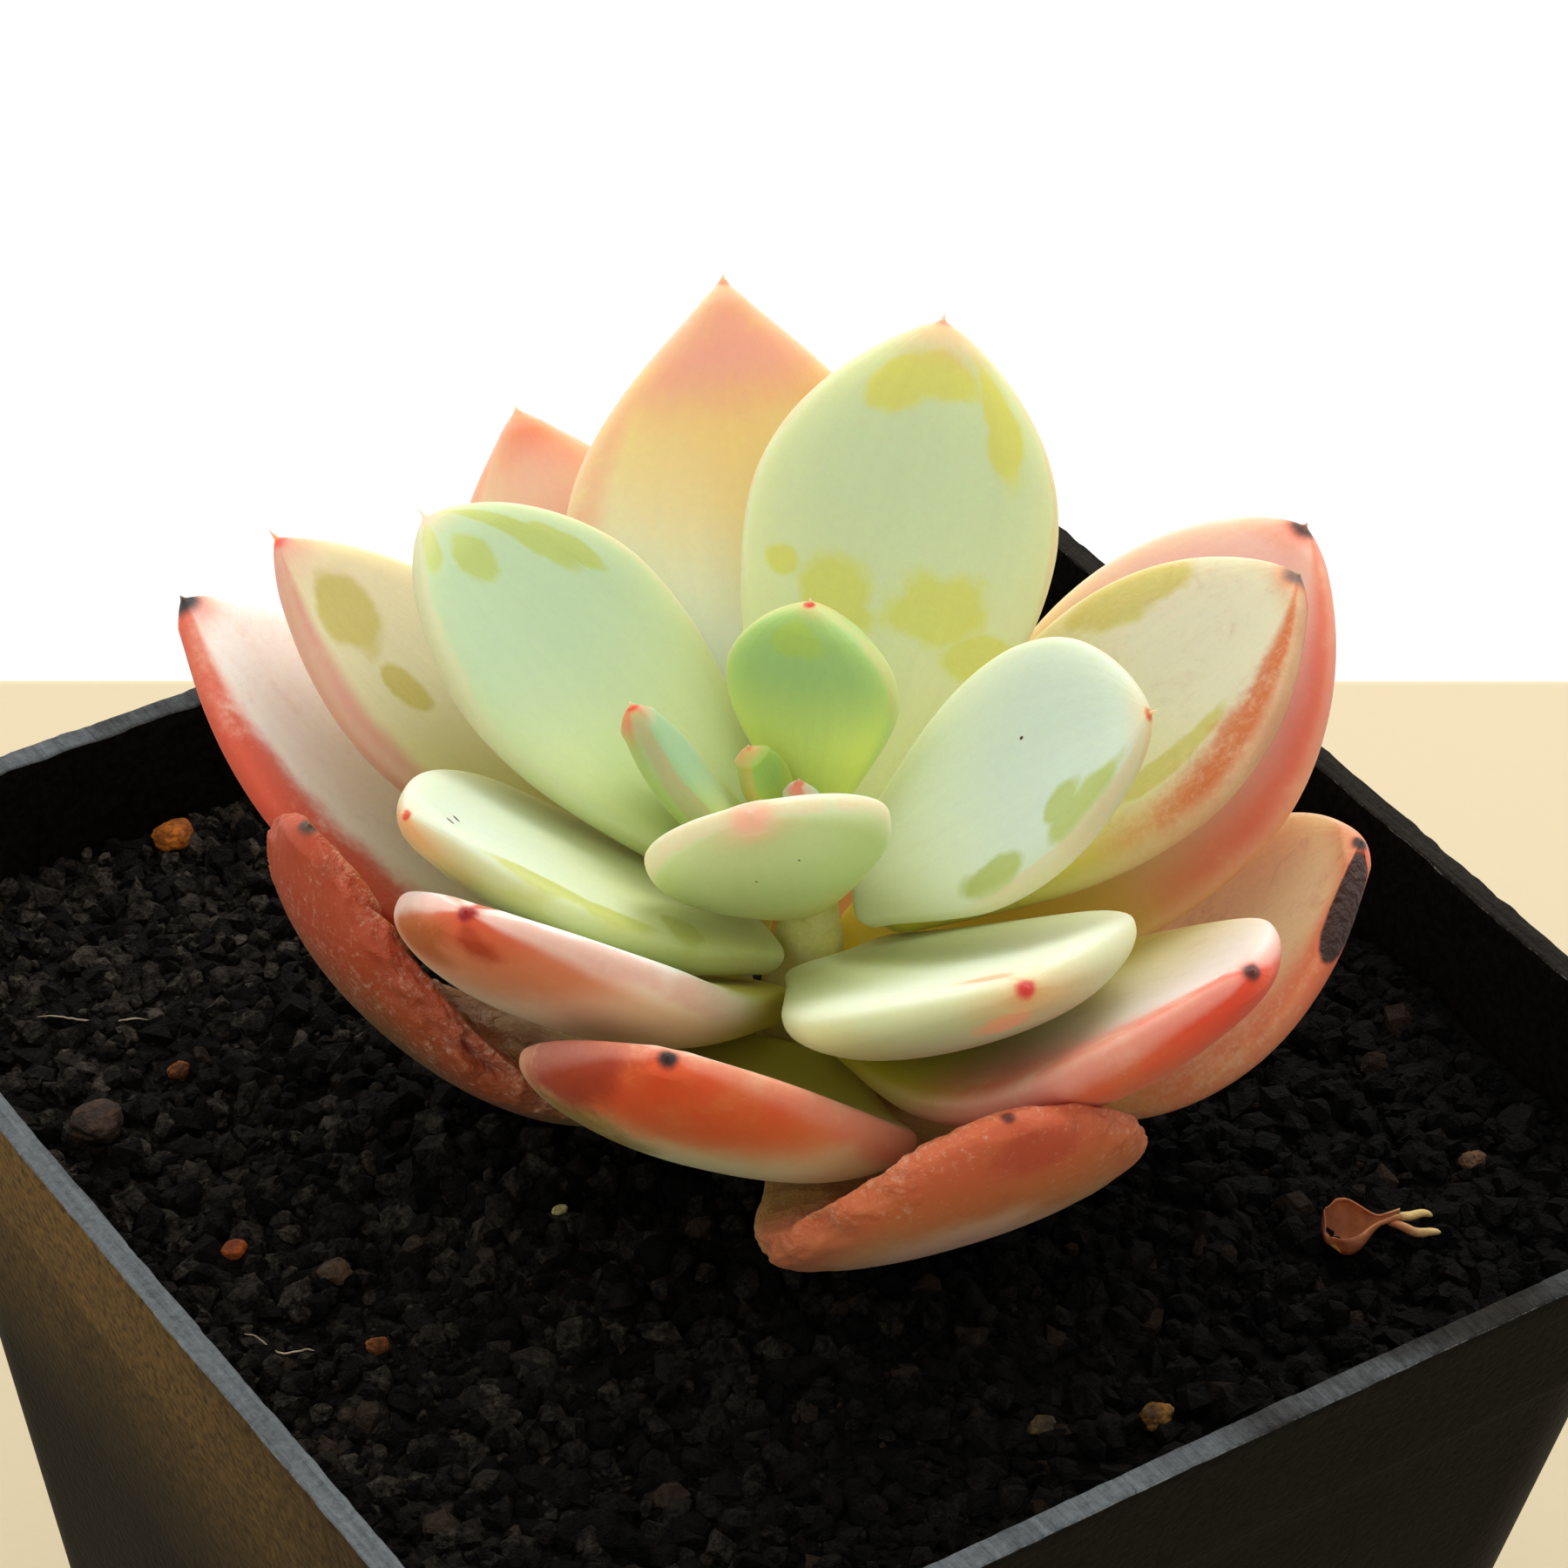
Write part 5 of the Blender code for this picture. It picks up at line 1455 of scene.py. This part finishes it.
class SUCCULENT_OT_stage(bpy.types.Operator):
    """Lays the floor, hangs the light and sets the camera"""
    bl_idname = "succulent.stage"
    bl_label = "Stage"

    def execute(self, context):
        stage = settings("stage")
        floor = bpy.data.objects.new("floor", floor_mesh(stage))
        context.scene.collection.objects.link(floor)
        floor.data.materials.append(floor_finish(stage))
        light_world(stage)
        add_key(stage)
        add_camera(stage)
        context.scene.view_settings.view_transform = 'Standard'
        return {'FINISHED'}


class SUCCULENT_OT_pot(bpy.types.Operator):
    """Moulds the square pot, with its band, cut rim and drain holes"""
    bl_idname = "succulent.pot"
    bl_label = "Pot"

    def execute(self, context):
        pot = settings("pot")
        mesh = cut_drains(pot_mesh(pot), pot)
        add_piece("pot_shell", mesh, plastic_finish(pot), "pot_plastic", "pot")
        return {'FINISHED'}


class SUCCULENT_OT_soil(bpy.types.Operator):
    """Fills the pot with packed soil and scatters grains over it"""
    bl_idname = "succulent.soil"
    bl_label = "Soil"

    def execute(self, context):
        pot, soil = settings("pot"), settings("soil")
        rng = np.random.default_rng(GRAIN_SEED)
        add_piece("soil_bed", soil_mesh(pot), soil_finish("soil_bed", soil, False), "soil", "soil")
        middles, sizes = scatter(rng, pot, soil)
        points = grain_points(rng, middles, sizes)
        shades = rng.uniform(0.1, 1.0, size=len(sizes)) ** 2.6
        finish = soil_finish("soil_grains", soil, True)
        for number, start in enumerate(range(0, len(sizes), GRAIN_PIECE), 1):
            chosen = slice(start, start + GRAIN_PIECE)
            mesh = grain_mesh(f"soil_grains_{number}", points[chosen], shades[chosen])
            add_piece(f"soil_grains_{number}", mesh, finish, "soil")
        fibres = join_meshes("root_fibres", fibre_parts(rng))
        add_piece("root_fibres", fibres, fibre_finish(), "soil")
        return {'FINISHED'}


class SUCCULENT_OT_crumbs(bpy.types.Operator):
    """Lays the coloured grains, the clod and the dry scrap on the soil"""
    bl_idname = "succulent.crumbs"
    bl_label = "Crumbs and scrap"

    def execute(self, context):
        tones = {"amber_grain": ((196, 112, 22), (120, 62, 14)),
                 "brown_clod": ((82, 60, 44), (34, 26, 20)),
                 "rust_grain": ((184, 92, 28), (108, 48, 16))}
        for seed, (node, (light, dark)) in enumerate(tones.items()):
            low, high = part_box(node)
            sunk = Vector((0, 0, 0.35 * MM))
            mesh = lump_mesh(node + "_lump", (low + high) / 2 - sunk, (high - low) / 2, seed)
            finish = lump_finish(node + "_lump", display(*light), display(*dark))
            add_piece(node + "_lump", mesh, finish, node, node)
        for number, ((x, y), width, color) in enumerate(SPECKS, 1):
            z = bed_height(np.array(x * MM), np.array(y * MM)) + LOOSE_HEIGHT
            reach = np.array([0.55, 0.42, 0.36]) * width * MM
            name = f"loose_grain_{number}"
            mesh = lump_mesh(name, (x * MM, y * MM, float(z)), reach, 20 + number, 0.22)
            dark = tuple(0.45 * value for value in color)
            add_piece(name, mesh, lump_finish(name, display(*color), display(*dark)), "soil")
        scrap = join_meshes("dry_scrap_cup", scrap_parts())
        add_piece("dry_scrap_cup", scrap, scrap_finish(), "dry_scrap", "dry_scrap")
        return {'FINISHED'}


class SUCCULENT_OT_stem(bpy.types.Operator):
    """Turns the short stem that carries the leaves"""
    bl_idname = "succulent.stem"
    bl_label = "Stem"

    def execute(self, context):
        add_piece("stem_bark", stem_mesh(), stem_finish(), "stem", "stem")
        return {'FINISHED'}


class SUCCULENT_OT_leaves(bpy.types.Operator):
    """Grows the leaves of one ring of the rosette, each with its own skin"""
    bl_idname = "succulent.leaves"
    bl_label = "Leaves"
    ring: bpy.props.EnumProperty(
        name="Ring", description="Which ring of the rosette to grow",
        items=[(name, name.title(), f"The {name} leaves") for name in RINGS])

    def execute(self, context):
        share = settings("leaves")
        for leaf in LEAVES:
            if not leaf.name.startswith(self.ring):
                continue
            look = LOOKS[leaf.name]
            finer = WRINKLE_DETAIL if look.wrinkles else 1
            mesh = leaf_mesh(leaf, look, int(share.along * finer), int(share.around * finer))
            finish = leaf_finish(leaf, look, share, mesh.vertices[-1].co)
            piece = add_piece(leaf.name + "_skin", mesh, finish, self.ring + "_leaf", leaf.name)
            check_place(piece, leaf.name)
        return {'FINISHED'}


def check_place(piece, node):
    """Stops the script if a piece isn't where the CAD has its node."""
    corners = np.array([vertex.co for vertex in piece.data.vertices])
    low, high = (np.array(corner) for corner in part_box(node))
    apart = max(np.abs(corners.min(axis=0) - low).max(), np.abs(corners.max(axis=0) - high).max())
    if apart > BOX_TOLERANCE:
        raise RuntimeError(f"{piece.name} is {apart / MM:.2f} mm away from the box of {node}")


class SUCCULENT_PT_panel(bpy.types.Panel):
    """Lists the steps that build the potted succulent"""
    bl_idname = "SUCCULENT_PT_panel"
    bl_label = "Potted succulent"
    bl_space_type = 'VIEW_3D'
    bl_region_type = 'UI'
    bl_category = "Succulent"

    def draw(self, context):
        for name in SETTINGS:
            group = getattr(context.scene, name)
            box = self.layout.box()
            for key in group.__annotations__:
                box.prop(group, key)
        for step in (SUCCULENT_OT_stage, SUCCULENT_OT_pot, SUCCULENT_OT_soil, SUCCULENT_OT_crumbs,
                     SUCCULENT_OT_stem):
            self.layout.operator(step.bl_idname)
        for ring in RINGS:
            self.layout.operator("succulent.leaves", text=f"Leaves: {ring}").ring = ring


CLASSES = [
    StageSettings, PotSettings, SoilSettings, LeafSettings,
    SUCCULENT_OT_stage, SUCCULENT_OT_pot, SUCCULENT_OT_soil, SUCCULENT_OT_crumbs,
    SUCCULENT_OT_stem, SUCCULENT_OT_leaves, SUCCULENT_PT_panel,
]


def register():
    for made in CLASSES:
        bpy.utils.register_class(made)
    for name, group in SETTINGS.items():
        setattr(bpy.types.Scene, name, bpy.props.PointerProperty(type=group))


def unregister():
    for name in SETTINGS:
        delattr(bpy.types.Scene, name)
    for made in reversed(CLASSES):
        bpy.utils.unregister_class(made)


def main():
    register()
    bpy.ops.succulent.stage()
    bpy.ops.succulent.pot()
    bpy.ops.succulent.soil()
    bpy.ops.succulent.crumbs()
    bpy.ops.succulent.stem()
    for ring in RINGS:
        bpy.ops.succulent.leaves(ring=ring)


if __name__ == "__main__":
    main()
